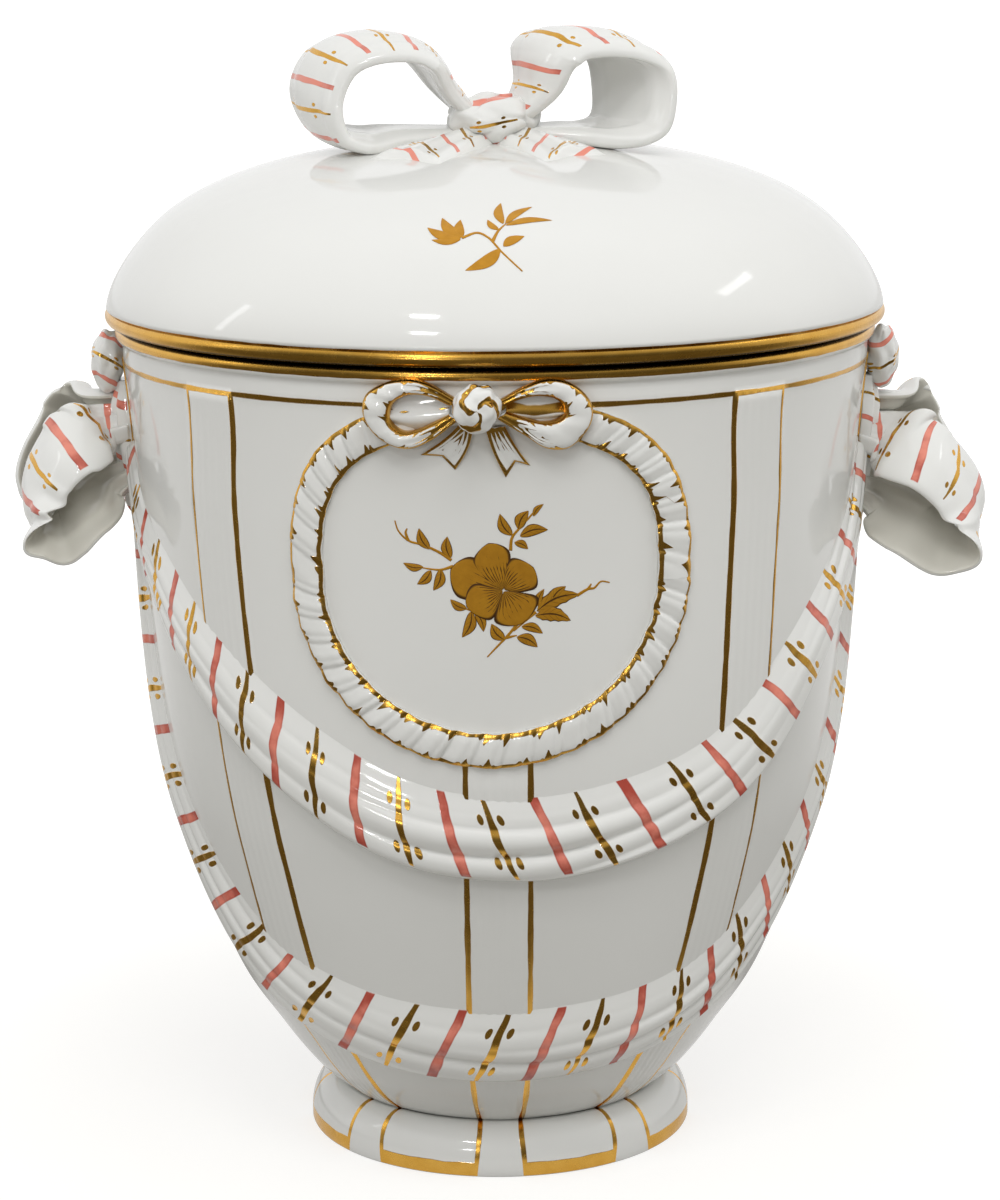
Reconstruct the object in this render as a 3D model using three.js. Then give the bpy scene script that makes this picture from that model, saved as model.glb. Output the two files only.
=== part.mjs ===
// Lidded porcelain jar on a low foot, in millimetres, +Z up, front towards -Y.
// A cast bowl with moulded pilasters carries two swags, a medallion and a bow on
// its front and back, and a tied bow as the handle on each side. A domed lid with
// a bow as its knob rests on the rim and lifts straight off.
import * as THREE from 'three';
import { LoftGeometry } from 'three/addons/geometries/LoftGeometry.js';
import { ParametricGeometry } from 'three/addons/geometries/ParametricGeometry.js';

// Bowl
const waistRadius = 49;
const waistHeight = 12;
const waistFlare = 0.66;
const waistFullness = 0.4545;
const bellyRadius = 92.4;
const bellyHeight = 100;
const bellyFlare = 0.27;
const bellyFullness = 0.7273;
const waistReach = waistFullness * (bellyHeight - waistHeight);
const bellyReachDown = bellyFullness * (bellyHeight - waistHeight);
const bellyReachUp = 32;
const friezeRadius = 105.5;
const friezeFlare = 0.12;
const friezeReach = 45;
const rimHeight = 238;
const rimLipHeight = 4.6;
const rimBead = 2.1;
const rimRadius = friezeRadius + rimBead;
const friezeBandHeight = 10;
const friezeHeight = rimHeight - friezeBandHeight;
const wallThickness = 5;
const floorThickness = 7;
const floorCornerRadius = 6;
const floorDome = 0.8;

// Pilasters moulded on the bowl
const pilasterCount = 8;
const pilasterTopWidth = 18;
const pilasterFootWidth = 14.5;
const pilasterRelief = 0.5;
const pilasterEdge = 0.8;

// Foot
const footFlareWidth = 7;
const footRadius = waistRadius + footFlareWidth;
const footEdgeHeight = 3;
const footRingWidth = 9;
const footRecessHeight = 8;
const footRecessRound = 2;

// Lid
const lidOverhang = 2.7;
const lidRadius = rimRadius + lidOverhang;
const lidBandHeight = 4.4;
const lidShoulderInset = 15;
const lidShoulderRadius = lidRadius - lidShoulderInset;
const lidShoulderRise = 27.7;
const lidShoulderSlope = 43;
const lidCrownRise = 50.2;
const lidThickness = 5.5;
const flangeDepth = 9;
const flangeThickness = 4;
const flangeClearance = 1.3;
const seatGap = 0.3;

// Clay joints: what is luted on stands this far off its seat
const lutingGap = 0.3;

// Medallion, measured over the curve of the wall, its top just under the frieze line
const medallionAngle = -1;
const medallionHalfWidth = 49.5;
const medallionHalfHeight = 44.6;
const medallionTopDrop = 2.9;
const medallionHeight = friezeHeight - medallionTopDrop - medallionHalfHeight;
const medallionBand = 9.4;
const medallionProud = 2.4;
const medallionShoulder = 2.7;

// Bow on the medallion, across the frieze line
const bowLineRise = 0.6;
const bowHeight = friezeHeight + bowLineRise;
const bowAngle = -2.4;
const bowKnotRadius = 6.2;
const bowLoopReach = 28.5;
const bowLoopHalfHeight = 7.4;
const bowLoopBand = 4.2;
const bowLoopProud = 5;
const bowTailLength = 19;
const bowTailWidth = 8.5;
const bowTailSpread = 30;
const bowTailThickness = 1.6;

// Handles: the knot hangs under the rim, and the loops are set out from it
const handleKnotTall = 9.1;
const handleKnotWide = 8;
const handleKnotDeep = 5.4;
const handleKnotDrop = 2.7;
const handleKnotHeight = rimHeight - handleKnotDrop - handleKnotTall;
const handleKnotFoot = handleKnotHeight - handleKnotTall;
const neckTop = handleKnotFoot - lutingGap;
const neckLength = 28.8;
const neckBottom = neckTop - neckLength;
const neckWidth = 15;
const neckEndWidth = 11;
const neckProud = 4.6;
const handleRibbonWidth = 25;
const handleRibbonRootWidth = 7;
const handleRibbonThickness = 4.2;
const handleRibbonCrown = 2.2;
const handleSpread = 17;
const handleRootSpread = 4;
const handleRibbonLean = new THREE.Vector3(-0.25, 0.72, -0.65);
const handleLoops = [
  { hand: -1, side: -1, rootLift: 1.6,
    reach: 24.9, upperDrop: 8.1, crestDrop: 11.1, tipDrop: 35.6, lowerDrop: 22.1 },
  { hand: -1, side: 1, rootLift: 1.7,
    reach: 28.9, upperDrop: 4.1, crestDrop: 7.1, tipDrop: 36.1, lowerDrop: 19.1 },
  { hand: 1, side: -1, rootLift: 0.8,
    reach: 28.9, upperDrop: 12.1, crestDrop: 16.1, tipDrop: 40.6, lowerDrop: 28.1 },
  { hand: 1, side: 1, rootLift: 1.7,
    reach: 23.9, upperDrop: 6.1, crestDrop: 10.1, tipDrop: 35.1, lowerDrop: 21.1 },
];

// Swags: the upper hangs under the medallion, the lower over the waist, and both
// are caught up at the handle's neck
const swagFolds = 3;
const swagFoldDepth = 0.6;
const swagEdgeThickness = 1;
const swagSeatLift = 0.25;
const swagMedallionGap = 6.7;
const medallionFoot = medallionHeight - medallionHalfHeight - medallionBand / 2;
const upperSwagWidth = 25;
const upperSwagCatchRise = 14;
const upperSwag = {
  lowHeight: medallionFoot - swagMedallionGap - upperSwagWidth / 2,
  riseHeight: neckBottom + upperSwagCatchRise,
  sideGap: neckWidth / 2,
  lean: 3, chain: 60,
  width: upperSwagWidth, endWidth: 11, proud: 4.6, endProud: 1.5,
};
const lowerSwagWidth = 27;
const lowerSwagWaistGap = 22;
const lowerSwagEndWidth = 8.4;
const lowerSwagNeckGap = 0.8;
const lowerSwag = {
  lowHeight: waistHeight + lowerSwagWaistGap + lowerSwagWidth / 2,
  riseHeight: neckBottom - lowerSwagNeckGap - lowerSwagEndWidth / 2,
  sideGap: 1.4,
  lean: 1, chain: 20,
  width: lowerSwagWidth, endWidth: lowerSwagEndWidth, proud: 4.8, endProud: 1.2,
};

// Bow on the lid
const knobKnotWide = 11;
const knobKnotDeep = 9.5;
const knobKnotTall = 6.2;
const knobForward = 9;
const knobRibbonWidth = 32;
const knobRibbonRootWidth = 14;
const knobRibbonThickness = 6.6;
const knobRibbonFootThickness = 4.4;
const knobRibbonCrown = 5.4;
const knobRise = 31.5;
const knobUpperRootGap = 0.4;
const knobLowerRootTuck = 0.1;
const knobUpperRoot = knobKnotWide + knobUpperRootGap;
const knobLowerRoot = knobKnotWide - knobLowerRootTuck;
const knobFootLift = 1;
const knobLoops = [
  { hand: -1, name: 'left', reach: 50.6, nearReach: 17.6, drop: 0, turn: 17, flare: 10 },
  { hand: 1, name: 'right', reach: 42.6, nearReach: 14.5, drop: -0.5, turn: 24, flare: 8 },
];
const knobTailLength = 27;
const knobTailWidth = 16;
const knobTailRootWidth = 9;
const knobTailThickness = 3;
const knobTailSpread = 34;

// Fineness of the facets
const wallRows = 9;
const swagSteps = 30;
const loopSteps = 15;
const ringSteps = 44;
const turnSteps = 48;

const degree = Math.PI / 180;
const porcelain = { color: 0xeeeeec, roughness: 0.12, metalness: 0 };
const ribbonGlaze = { color: 0xf0ece8, roughness: 0.14, metalness: 0 };
const jar = new THREE.Group();
const body = new THREE.Group();
const lid = new THREE.Group();
jar.add(body, lid);

function addPiece(group, name, geometry, finish) {
  const piece = new THREE.Mesh(geometry, new THREE.MeshStandardMaterial(finish));
  piece.name = name;
  group.add(piece);
  return piece;
}

function mix(from, to, share) {
  return from + (to - from) * share;
}

// Outline of the bowl's outside, from the waist to the frieze line
const lowerWall = new THREE.CubicBezierCurve(
  new THREE.Vector2(waistRadius, waistHeight),
  new THREE.Vector2(waistRadius + waistFlare * waistReach, waistHeight + waistReach),
  new THREE.Vector2(bellyRadius - bellyFlare * bellyReachDown, bellyHeight - bellyReachDown),
  new THREE.Vector2(bellyRadius, bellyHeight),
);
const upperWall = new THREE.CubicBezierCurve(
  new THREE.Vector2(bellyRadius, bellyHeight),
  new THREE.Vector2(bellyRadius + bellyFlare * bellyReachUp, bellyHeight + bellyReachUp),
  new THREE.Vector2(friezeRadius - friezeFlare * friezeReach, friezeHeight - friezeReach),
  new THREE.Vector2(friezeRadius, friezeHeight),
);
const fineRows = 100;
const wallOutline = [...lowerWall.getPoints(fineRows), ...upperWall.getPoints(fineRows).slice(1)];

// Radius of an outline at a height, by straight lines between its points
function radiusOn(outline, height) {
  const above = outline.findIndex((point) => point.y >= height);
  if (above === 0) return outline[0].x;
  if (above < 0) return outline[outline.length - 1].x;
  const low = outline[above - 1];
  const high = outline[above];
  return mix(low.x, high.x, (height - low.y) / (high.y - low.y));
}

function wallRadius(height) {
  return radiusOn(wallOutline, height);
}

function wallSlope(height) {
  const step = 0.5;
  return (wallRadius(height + step) - wallRadius(height - step)) / (2 * step);
}

// A point off the wall: lift is square to the wall, counted from where luted clay sits
function onWall(angle, height, lift) {
  const slope = wallSlope(height);
  const tilt = Math.hypot(1, slope);
  const radius = wallRadius(height) + pilasterRelief + (lutingGap + lift) / tilt;
  const rise = (lutingGap + lift) * slope / tilt;
  const turn = angle * degree;
  return new THREE.Vector3(radius * Math.sin(turn), -radius * Math.cos(turn), height - rise);
}

// A point moved over the wall from a place on it: along the girth, and up the wall
function overWall(angle, height, along, up, lift) {
  const rise = up / Math.hypot(1, wallSlope(height));
  const newHeight = height + rise;
  const turned = angle + along / wallRadius(height) / degree;
  return onWall(turned, newHeight, lift);
}

// Bowl: rings of the outside, over the rolled lip, and down the inside to the floor
function pilasterWidth(height) {
  const share = (height - waistHeight) / (friezeHeight - waistHeight);
  return mix(pilasterFootWidth, pilasterTopWidth, share);
}

function bowlRing(radius, height, relief) {
  const half = pilasterWidth(height) / 2;
  const panelSteps = 4;
  const ring = [];
  for (let pilaster = 0; pilaster < pilasterCount; pilaster++) {
    const centre = pilaster * 360 / pilasterCount;
    const halfAngle = half / wallRadius(height) / degree;
    const edgeAngle = (half + pilasterEdge) / wallRadius(height) / degree;
    const stops = [[-edgeAngle, 0], [-halfAngle, relief], [halfAngle, relief], [edgeAngle, 0]];
    const panel = 360 / pilasterCount - 2 * edgeAngle;
    for (let step = 1; step < panelSteps; step++) {
      stops.push([edgeAngle + panel * step / panelSteps, 0]);
    }
    for (const [offset, extra] of stops) {
      const turn = (centre + offset) * degree;
      const reach = radius + extra;
      ring.push(new THREE.Vector3(reach * Math.sin(turn), -reach * Math.cos(turn), height));
    }
  }
  return ring;
}

function bowlGeometry() {
  const rings = [];
  for (const point of lowerWall.getPoints(wallRows)) {
    rings.push(bowlRing(point.x, point.y, pilasterRelief));
  }
  for (const point of upperWall.getPoints(Math.round(wallRows / 2)).slice(1)) {
    rings.push(bowlRing(point.x, point.y, pilasterRelief));
  }
  const lipRound = rimLipHeight / 2;
  const lipCentre = rimRadius - lipRound;
  for (const bend of [-60, -20, 20, 60]) {
    const radius = lipCentre + lipRound * Math.cos(bend * degree);
    rings.push(bowlRing(radius, rimHeight - lipRound + lipRound * Math.sin(bend * degree), 0));
  }
  const innerTop = friezeRadius - wallThickness;
  rings.push(bowlRing(lipCentre, rimHeight, 0));
  rings.push(bowlRing(innerTop + 1, rimHeight, 0));
  rings.push(bowlRing(innerTop, rimHeight - 1, 0));
  const floorHeight = waistHeight + floorThickness;
  const cornerHeight = floorHeight + floorCornerRadius;
  const innerRows = 9;
  for (let row = 0; row <= innerRows; row++) {
    const height = mix(friezeHeight, cornerHeight, row / innerRows);
    rings.push(bowlRing(wallRadius(height) - wallThickness, height, 0));
  }
  const cornerInset = wallThickness + floorCornerRadius * 0.75;
  rings.push(bowlRing(wallRadius(cornerHeight) - cornerInset, floorHeight + 1, 0));
  rings.push(bowlRing(wallRadius(cornerHeight) - cornerInset - floorCornerRadius, floorHeight, 0));
  rings.push(bowlRing(waistRadius * 0.4, floorHeight + floorDome, 0));
  return new LoftGeometry(rings, { capStart: true, capEnd: true });
}

addPiece(body, 'jar_bowl', bowlGeometry(), porcelain);

// A turned piece: the outline's points are radius and height
function turned(outline) {
  return new THREE.LatheGeometry(outline, turnSteps).rotateX(90 * degree);
}

// Foot: a hollow ring with a quarter round from the waist to its edge
function footGeometry() {
  const top = waistHeight - lutingGap;
  const inner = footRadius - footRingWidth;
  const outline = [new THREE.Vector2(inner, 0), new THREE.Vector2(footRadius, 0)];
  const roundSteps = 5;
  for (let step = 0; step <= roundSteps; step++) {
    const bend = 90 * step / roundSteps * degree;
    outline.push(new THREE.Vector2(
      waistRadius + (footRadius - waistRadius) * Math.cos(bend),
      footEdgeHeight + (top - footEdgeHeight) * Math.sin(bend),
    ));
  }
  outline.push(new THREE.Vector2(inner - footRecessRound * 3, top));
  outline.push(new THREE.Vector2(inner - footRecessRound * 3, footRecessHeight + footRecessRound));
  outline.push(new THREE.Vector2(inner - footRecessRound, footRecessHeight));
  outline.push(new THREE.Vector2(inner, 0));
  return turned(outline);
}

addPiece(body, 'foot_ring', footGeometry(), porcelain);

// Swag: a folded ribbon hanging in a chain's curve over the wall
function swagEndAngle(swag) {
  const offCentre = swag.sideGap + swag.endWidth / 2;
  return 90 - offCentre / wallRadius(swag.riseHeight) / degree;
}

function swagHeight(swag, angle) {
  const span = swagEndAngle(swag) - Math.sign(angle - swag.lean) * swag.lean;
  const hang = Math.cosh((angle - swag.lean) / swag.chain) - 1;
  const fullHang = Math.cosh(span / swag.chain) - 1;
  return swag.lowHeight + (swag.riseHeight - swag.lowHeight) * hang / fullHang;
}

function swagGeometry(swag, facing) {
  const outerPoints = 2 * swagFolds + 1;
  const endAngle = swagEndAngle(swag);
  const sections = [];
  for (let step = 0; step <= swagSteps; step++) {
    const share = 2 * step / swagSteps - 1;
    const angle = endAngle * Math.sign(share) * Math.abs(share) ** 0.92;
    const height = swagHeight(swag, angle);
    const nudge = 0.25;
    const rise = swagHeight(swag, angle + nudge) - swagHeight(swag, angle - nudge);
    const girth = 2 * nudge * degree * wallRadius(height);
    const run = new THREE.Vector2(girth, rise * Math.hypot(1, wallSlope(height))).normalize();
    const width = mix(swag.width, swag.endWidth, Math.abs(share) ** 2.2);
    const section = [];
    const place = (across, lift) => {
      const side = -run.y * across;
      section.push(overWall(facing + angle, height, side, run.x * across, swagSeatLift + lift));
    };
    for (let k = 0; k < outerPoints; k++) {
      const across = (k / (outerPoints - 1) - 0.5) * width;
      const rounding = Math.sqrt(Math.max(0, 1 - (2 * across / width) ** 2));
      const proud = mix(swag.proud, swag.endProud, Math.sin(share * Math.PI / 2) ** 2);
      const ridge = (k % 2 === 1 ? 1 : -1) * swagFoldDepth * proud / swag.proud;
      const edge = swagEdgeThickness * proud / swag.proud;
      place(across, edge + (proud - edge) * rounding + ridge * Math.min(1, 2 * rounding));
    }
    for (let k = 2; k >= 0; k--) {
      place((k / 2 - 0.5) * width, 0);
    }
    sections.push(section.reverse());
  }
  return new LoftGeometry(sections, { capStart: true, capEnd: true });
}

for (const [name, facing] of [['front', 0], ['back', 180]]) {
  addPiece(body, `upper_swag_${name}`, swagGeometry(upperSwag, facing), ribbonGlaze);
  addPiece(body, `lower_swag_${name}`, swagGeometry(lowerSwag, facing), ribbonGlaze);
}

// Medallion: a closed ribbon ring on the wall, an oval with squarer shoulders
function medallionGeometry(facing) {
  const signedPower = (value, power) => Math.sign(value) * Math.abs(value) ** power;
  const place = (along, around, target) => {
    const turn = along * 2 * Math.PI;
    const square = Math.sin(turn) > 0 ? 2 / medallionShoulder : 1;
    const side = signedPower(Math.cos(turn), square);
    const up = signedPower(Math.sin(turn), square);
    const bend = -around * 2 * Math.PI;
    const outward = medallionBand / 2 * Math.cos(bend);
    const lift = medallionProud / 2 * (1 - Math.sin(bend));
    const slant = new THREE.Vector2(side / medallionHalfWidth, up / medallionHalfHeight).normalize();
    const acrossGirth = side * medallionHalfWidth + slant.x * outward;
    const upWall = up * medallionHalfHeight + slant.y * outward;
    target.copy(overWall(facing + medallionAngle, medallionHeight, acrossGirth, upWall, lift));
  };
  return new ParametricGeometry(place, ringSteps, 6);
}

addPiece(body, 'medallion_front', medallionGeometry(0), ribbonGlaze);
addPiece(body, 'medallion_back', medallionGeometry(180), ribbonGlaze);

// A length of ribbon along a path: a flat band with rounded edges and a crowned face
const bandSection = [
  [1, -0.4], [1, 0.4], [0.62, 1], [0, 1], [-0.62, 1],
  [-1, 0.4], [-1, -0.4], [-0.62, -1], [0, -1], [0.62, -1],
];

function bandGeometry({ path, across, width, thickness, crown, steps }) {
  const sections = [];
  for (let step = 0; step <= steps; step++) {
    const share = step / steps;
    const centre = path.getPoint(share);
    const run = path.getTangent(share);
    const side = across(share).clone();
    side.addScaledVector(run, -side.dot(run)).normalize();
    const outward = new THREE.Vector3().crossVectors(run, side);
    sections.push(bandSection.map(([a, b]) => centre.clone()
      .addScaledVector(side, a * width(share) / 2)
      .addScaledVector(outward, b * thickness(share) / 2 + crown(share) * (0.5 - a * a))));
  }
  return new LoftGeometry(sections, { capStart: true, capEnd: true });
}

function rounded(radii, middle, turn) {
  const geometry = new THREE.SphereGeometry(1, 12, 8);
  geometry.scale(radii.x, radii.y, radii.z);
  return geometry.rotateZ(turn).translate(middle.x, middle.y, middle.z);
}

// Bow on the medallion: a round knot, two puffed loops and two swallow tails
const bowLift = medallionProud + lutingGap;

function bowLoopGeometry(facing, hand) {
  const inner = bowKnotRadius + lutingGap + 0.5;
  const outline = [
    [inner, 1.9], [0.4 * bowLoopReach, 0.62 * bowLoopHalfHeight],
    [0.7 * bowLoopReach, bowLoopHalfHeight], [0.93 * bowLoopReach, 0.6 * bowLoopHalfHeight],
    [bowLoopReach, -0.15 * bowLoopHalfHeight], [0.86 * bowLoopReach, -0.9 * bowLoopHalfHeight],
    [0.62 * bowLoopReach, -bowLoopHalfHeight], [0.38 * bowLoopReach, -0.62 * bowLoopHalfHeight],
    [inner, -1.9],
  ];
  const middleLift = bowLift + bowLoopProud / 2;
  const place = ([side, up]) => overWall(
    facing + bowAngle, bowHeight, hand * side, up - 0.08 * side, middleLift);
  const path = new THREE.CatmullRomCurve3(outline.map(place));
  const squareOut = onWall(facing + bowAngle + hand * 10, bowHeight, 0).setZ(0).normalize();
  return bandGeometry({
    path,
    across: () => squareOut.clone().multiplyScalar(-hand),
    width: () => bowLoopProud,
    thickness: (share) => mix(2.6, bowLoopBand, Math.sin(Math.PI * share)),
    crown: () => 0,
    steps: loopSteps,
  });
}

function bowTailGeometry(facing, hand) {
  const start = bowKnotRadius + lutingGap + 0.6;
  const spread = bowTailSpread * degree;
  const steps = 4;
  const sections = [];
  for (let step = 0; step <= steps; step++) {
    const share = step / steps;
    const reach = mix(start, start + bowTailLength - bowKnotRadius, share);
    const half = mix(0.3, 0.5, share) * bowTailWidth;
    const notch = share === 1 ? -2.2 : 0;
    const corner = (across, lift, pull) => {
      const side = hand * (Math.sin(spread) * (reach + pull) + Math.cos(spread) * across);
      const up = -Math.cos(spread) * (reach + pull) + Math.sin(spread) * across;
      return overWall(facing + bowAngle, bowHeight, side, up, bowLift + lift);
    };
    const section = [
      corner(-half, 0, 0), corner(0, 0, notch), corner(half, 0, 0),
      corner(half, bowTailThickness, 0), corner(0, bowTailThickness, notch),
      corner(-half, bowTailThickness, 0),
    ];
    sections.push(hand > 0 ? section : section.reverse());
  }
  return new LoftGeometry(sections, { capStart: true, capEnd: true });
}

function addBow(name, facing) {
  const middle = onWall(facing + bowAngle, bowHeight, bowLift + bowKnotRadius * 0.85);
  const radii = new THREE.Vector3(bowKnotRadius, bowKnotRadius * 0.85, bowKnotRadius);
  addPiece(body, `${name}_bow_knot`, rounded(radii, middle, facing * degree), ribbonGlaze);
  for (const [side, hand] of [['left', -1], ['right', 1]]) {
    addPiece(body, `${name}_bow_${side}_loop`, bowLoopGeometry(facing, hand), ribbonGlaze);
    addPiece(body, `${name}_bow_${side}_tail`, bowTailGeometry(facing, hand), ribbonGlaze);
  }
}

addBow('front', 0);
addBow('back', 180);

// Handle: gathered ribbon down the wall, a knot above it and two hanging loops
function neckGeometry(hand) {
  const steps = 6;
  const sections = [];
  for (let step = 0; step <= steps; step++) {
    const height = mix(neckBottom, neckTop, step / steps);
    const half = mix(neckEndWidth, neckWidth, step / steps) / 2;
    const pleats = [[-1, 0], [-1, 1.6], [-0.5, neckProud], [-0.25, neckProud - 1.2], [0, neckProud],
      [0.25, neckProud - 1.2], [0.5, neckProud], [1, 1.6], [1, 0], [0, 0]];
    const section = pleats.map(([across, lift]) => (
      overWall(hand * 90, height, across * half, 0, lift)));
    sections.push(section);
  }
  return new LoftGeometry(sections, { capStart: true, capEnd: true });
}

function handleLoopGeometry(loop) {
  const { hand, side } = loop;
  const upperRoot = handleKnotFoot - loop.upperDrop;
  const crest = handleKnotFoot - loop.crestDrop;
  const tip = handleKnotFoot - loop.tipDrop;
  const lowerRoot = handleKnotFoot - loop.lowerDrop;
  const neckLift = pilasterRelief + 2 * lutingGap + neckProud;
  const place = (out, spread, height) => {
    const seat = wallRadius(height) + neckLift + loop.rootLift;
    const toSide = mix(handleRootSpread, handleSpread, spread);
    return new THREE.Vector3(
      hand * mix(seat, friezeRadius + loop.reach, out), side * toSide, height);
  };
  const path = new THREE.CatmullRomCurve3([
    place(0, 0, upperRoot),
    place(0.13, 0.07, mix(upperRoot, crest, 0.3)),
    place(0.3, 0.72, mix(upperRoot, crest, 0.7)),
    place(0.56, 1, mix(crest, tip, 0.08)),
    place(0.84, 1, mix(crest, tip, 0.38)),
    place(1, 1, mix(crest, tip, 0.75)),
    place(0.95, 1, tip),
    place(0.68, 1, mix(crest, tip, 1.06)),
    place(0.4, 0.9, mix(tip, lowerRoot, 0.22)),
    place(0.17, 0.28, mix(tip, lowerRoot, 0.7)),
    place(0, 0, lowerRoot),
  ]);
  const lean = new THREE.Vector3(
    hand * handleRibbonLean.x, side * handleRibbonLean.y, handleRibbonLean.z);
  lean.multiplyScalar(hand * side);
  const fill = (share) => Math.min(1, 1.3 * Math.sin(Math.PI * share) ** 1.5);
  return bandGeometry({
    path,
    across: () => lean,
    width: (share) => mix(handleRibbonRootWidth, handleRibbonWidth, fill(share)),
    thickness: () => handleRibbonThickness,
    crown: (share) => handleRibbonCrown * fill(share),
    steps: loopSteps,
  });
}

const handNames = { '-1': 'left', 1: 'right' };
const sideNames = { '-1': 'front', 1: 'back' };
for (const hand of [-1, 1]) {
  const out = wallRadius(handleKnotHeight) + pilasterRelief + lutingGap + handleKnotDeep;
  const middle = new THREE.Vector3(hand * out, 0, handleKnotHeight);
  const radii = new THREE.Vector3(handleKnotDeep, handleKnotWide, handleKnotTall);
  addPiece(body, `${handNames[hand]}_handle_knot`, rounded(radii, middle, 0), ribbonGlaze);
  addPiece(body, `${handNames[hand]}_handle_neck`, neckGeometry(hand), ribbonGlaze);
}
for (const loop of handleLoops) {
  const name = `${handNames[loop.hand]}_handle_${sideNames[loop.side]}_loop`;
  addPiece(body, name, handleLoopGeometry(loop), ribbonGlaze);
}

// Lid: a dome with a rolled edge, and a flange that keeps it in the rim
const lidSeat = rimHeight + seatGap;
const lidEdgeTop = lidSeat + lidBandHeight;
const crownHeight = lidSeat + lidCrownRise;
const shoulder = new THREE.Vector2(lidShoulderRadius, lidSeat + lidShoulderRise);
const shoulderRun = new THREE.Vector2(
  -Math.cos(lidShoulderSlope * degree), Math.sin(lidShoulderSlope * degree));
const edgeCurve = new THREE.CubicBezierCurve(
  new THREE.Vector2(lidRadius - 0.4, lidEdgeTop),
  new THREE.Vector2(lidRadius - 1.2, lidEdgeTop + 8),
  shoulder.clone().addScaledVector(shoulderRun, -8),
  shoulder,
);
const domeCurve = new THREE.CubicBezierCurve(
  shoulder,
  shoulder.clone().addScaledVector(shoulderRun, 20),
  new THREE.Vector2(lidShoulderRadius * 0.52, crownHeight),
  new THREE.Vector2(0, crownHeight),
);
const domeOutline = domeCurve.getPoints(fineRows);

function domeHeight(radius) {
  const inside = domeOutline.findIndex((point) => point.x <= radius);
  if (inside <= 0) return domeOutline[0].y;
  const outer = domeOutline[inside - 1];
  const inner = domeOutline[inside];
  return mix(outer.y, inner.y, (outer.x - radius) / (outer.x - inner.x));
}

function lidGeometry() {
  const flangeOuter = friezeRadius - wallThickness - flangeClearance;
  const flangeInner = flangeOuter - flangeThickness;
  const lipRound = lidBandHeight / 2;
  const outline = [];
  for (const point of domeCurve.getPoints(7).reverse()) {
    outline.push(new THREE.Vector2(point.x, point.y));
  }
  for (const point of edgeCurve.getPoints(4).reverse().slice(1)) {
    outline.push(new THREE.Vector2(point.x, point.y));
  }
  for (const bend of [30, -15, -60]) {
    outline.push(new THREE.Vector2(
      lidRadius - lipRound + lipRound * Math.cos(bend * degree),
      lidSeat + lipRound + lipRound * Math.sin(bend * degree),
    ));
  }
  outline.push(new THREE.Vector2(lidRadius - lipRound, lidSeat));
  outline.push(new THREE.Vector2(flangeOuter, lidSeat));
  outline.push(new THREE.Vector2(flangeOuter, lidSeat - flangeDepth + 1));
  outline.push(new THREE.Vector2(flangeOuter - 1, lidSeat - flangeDepth));
  outline.push(new THREE.Vector2(flangeInner, lidSeat - flangeDepth));
  outline.push(new THREE.Vector2(flangeInner, lidSeat + lidBandHeight));
  const shrink = (lidShoulderRadius - lidThickness) / lidShoulderRadius;
  for (const point of domeCurve.getPoints(5)) {
    outline.push(new THREE.Vector2(point.x * shrink, point.y - lidThickness));
  }
  return turned(outline.reverse());
}

addPiece(lid, 'lid_shell', lidGeometry(), porcelain);

// Bow on the lid: a low knot, two standing loops and two tails over the dome
const knotMiddle = new THREE.Vector3(
  0, -knobForward, domeHeight(knobForward) + lutingGap + knobKnotTall);
const knotRadii = new THREE.Vector3(knobKnotWide, knobKnotDeep, knobKnotTall);
addPiece(lid, 'lid_bow_knot', rounded(knotRadii, knotMiddle, 0), ribbonGlaze);

function knobLoopGeometry({ hand, reach, nearReach, drop, turn, flare }) {
  const knobTop = crownHeight + knobRise;
  const topHeight = knobTop - knobRibbonThickness / 2 - knobRibbonCrown / 2 - drop;
  const ground = (out) => domeHeight(out) + lutingGap + knobRibbonFootThickness / 2 + knobFootLift;
  const place = (out, height) => new THREE.Vector3(hand * out, -knobForward, height);
  const path = new THREE.CatmullRomCurve3([
    place(knobUpperRoot, mix(ground(knobUpperRoot), topHeight, 0.38)),
    place(mix(knobUpperRoot, nearReach, 0.6), mix(ground(nearReach), topHeight, 0.66)),
    place(mix(nearReach, reach, 0.2), mix(ground(nearReach), topHeight, 0.94)),
    place(mix(nearReach, reach, 0.5), topHeight),
    place(mix(nearReach, reach, 0.85), mix(ground(reach), topHeight, 0.95)),
    place(reach, mix(ground(reach), topHeight, 0.52)),
    place(mix(nearReach, reach, 0.95), mix(ground(reach), topHeight, 0.15)),
    place(mix(nearReach, reach, 0.74), ground(mix(nearReach, reach, 0.74))),
    place(mix(nearReach, reach, 0.4), ground(mix(nearReach, reach, 0.4))),
    place(knobLowerRoot, ground(knobLowerRoot)),
  ]);
  const toBack = (share) => {
    const swing = (turn + flare * Math.sin(Math.PI * share) ** 4) * degree;
    return new THREE.Vector3(-Math.sin(swing), Math.cos(swing), 0).multiplyScalar(hand);
  };
  const fill = (share) => Math.min(1, 1.6 * Math.sin(Math.PI * share));
  return bandGeometry({
    path,
    across: toBack,
    width: (share) => mix(knobRibbonRootWidth, knobRibbonWidth, fill(share)),
    thickness: (share) => mix(knobRibbonThickness, knobRibbonFootThickness, share),
    crown: (share) => knobRibbonCrown * Math.sin(Math.PI * Math.min(1, 1.3 * share)),
    steps: loopSteps + 4,
  });
}

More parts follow.
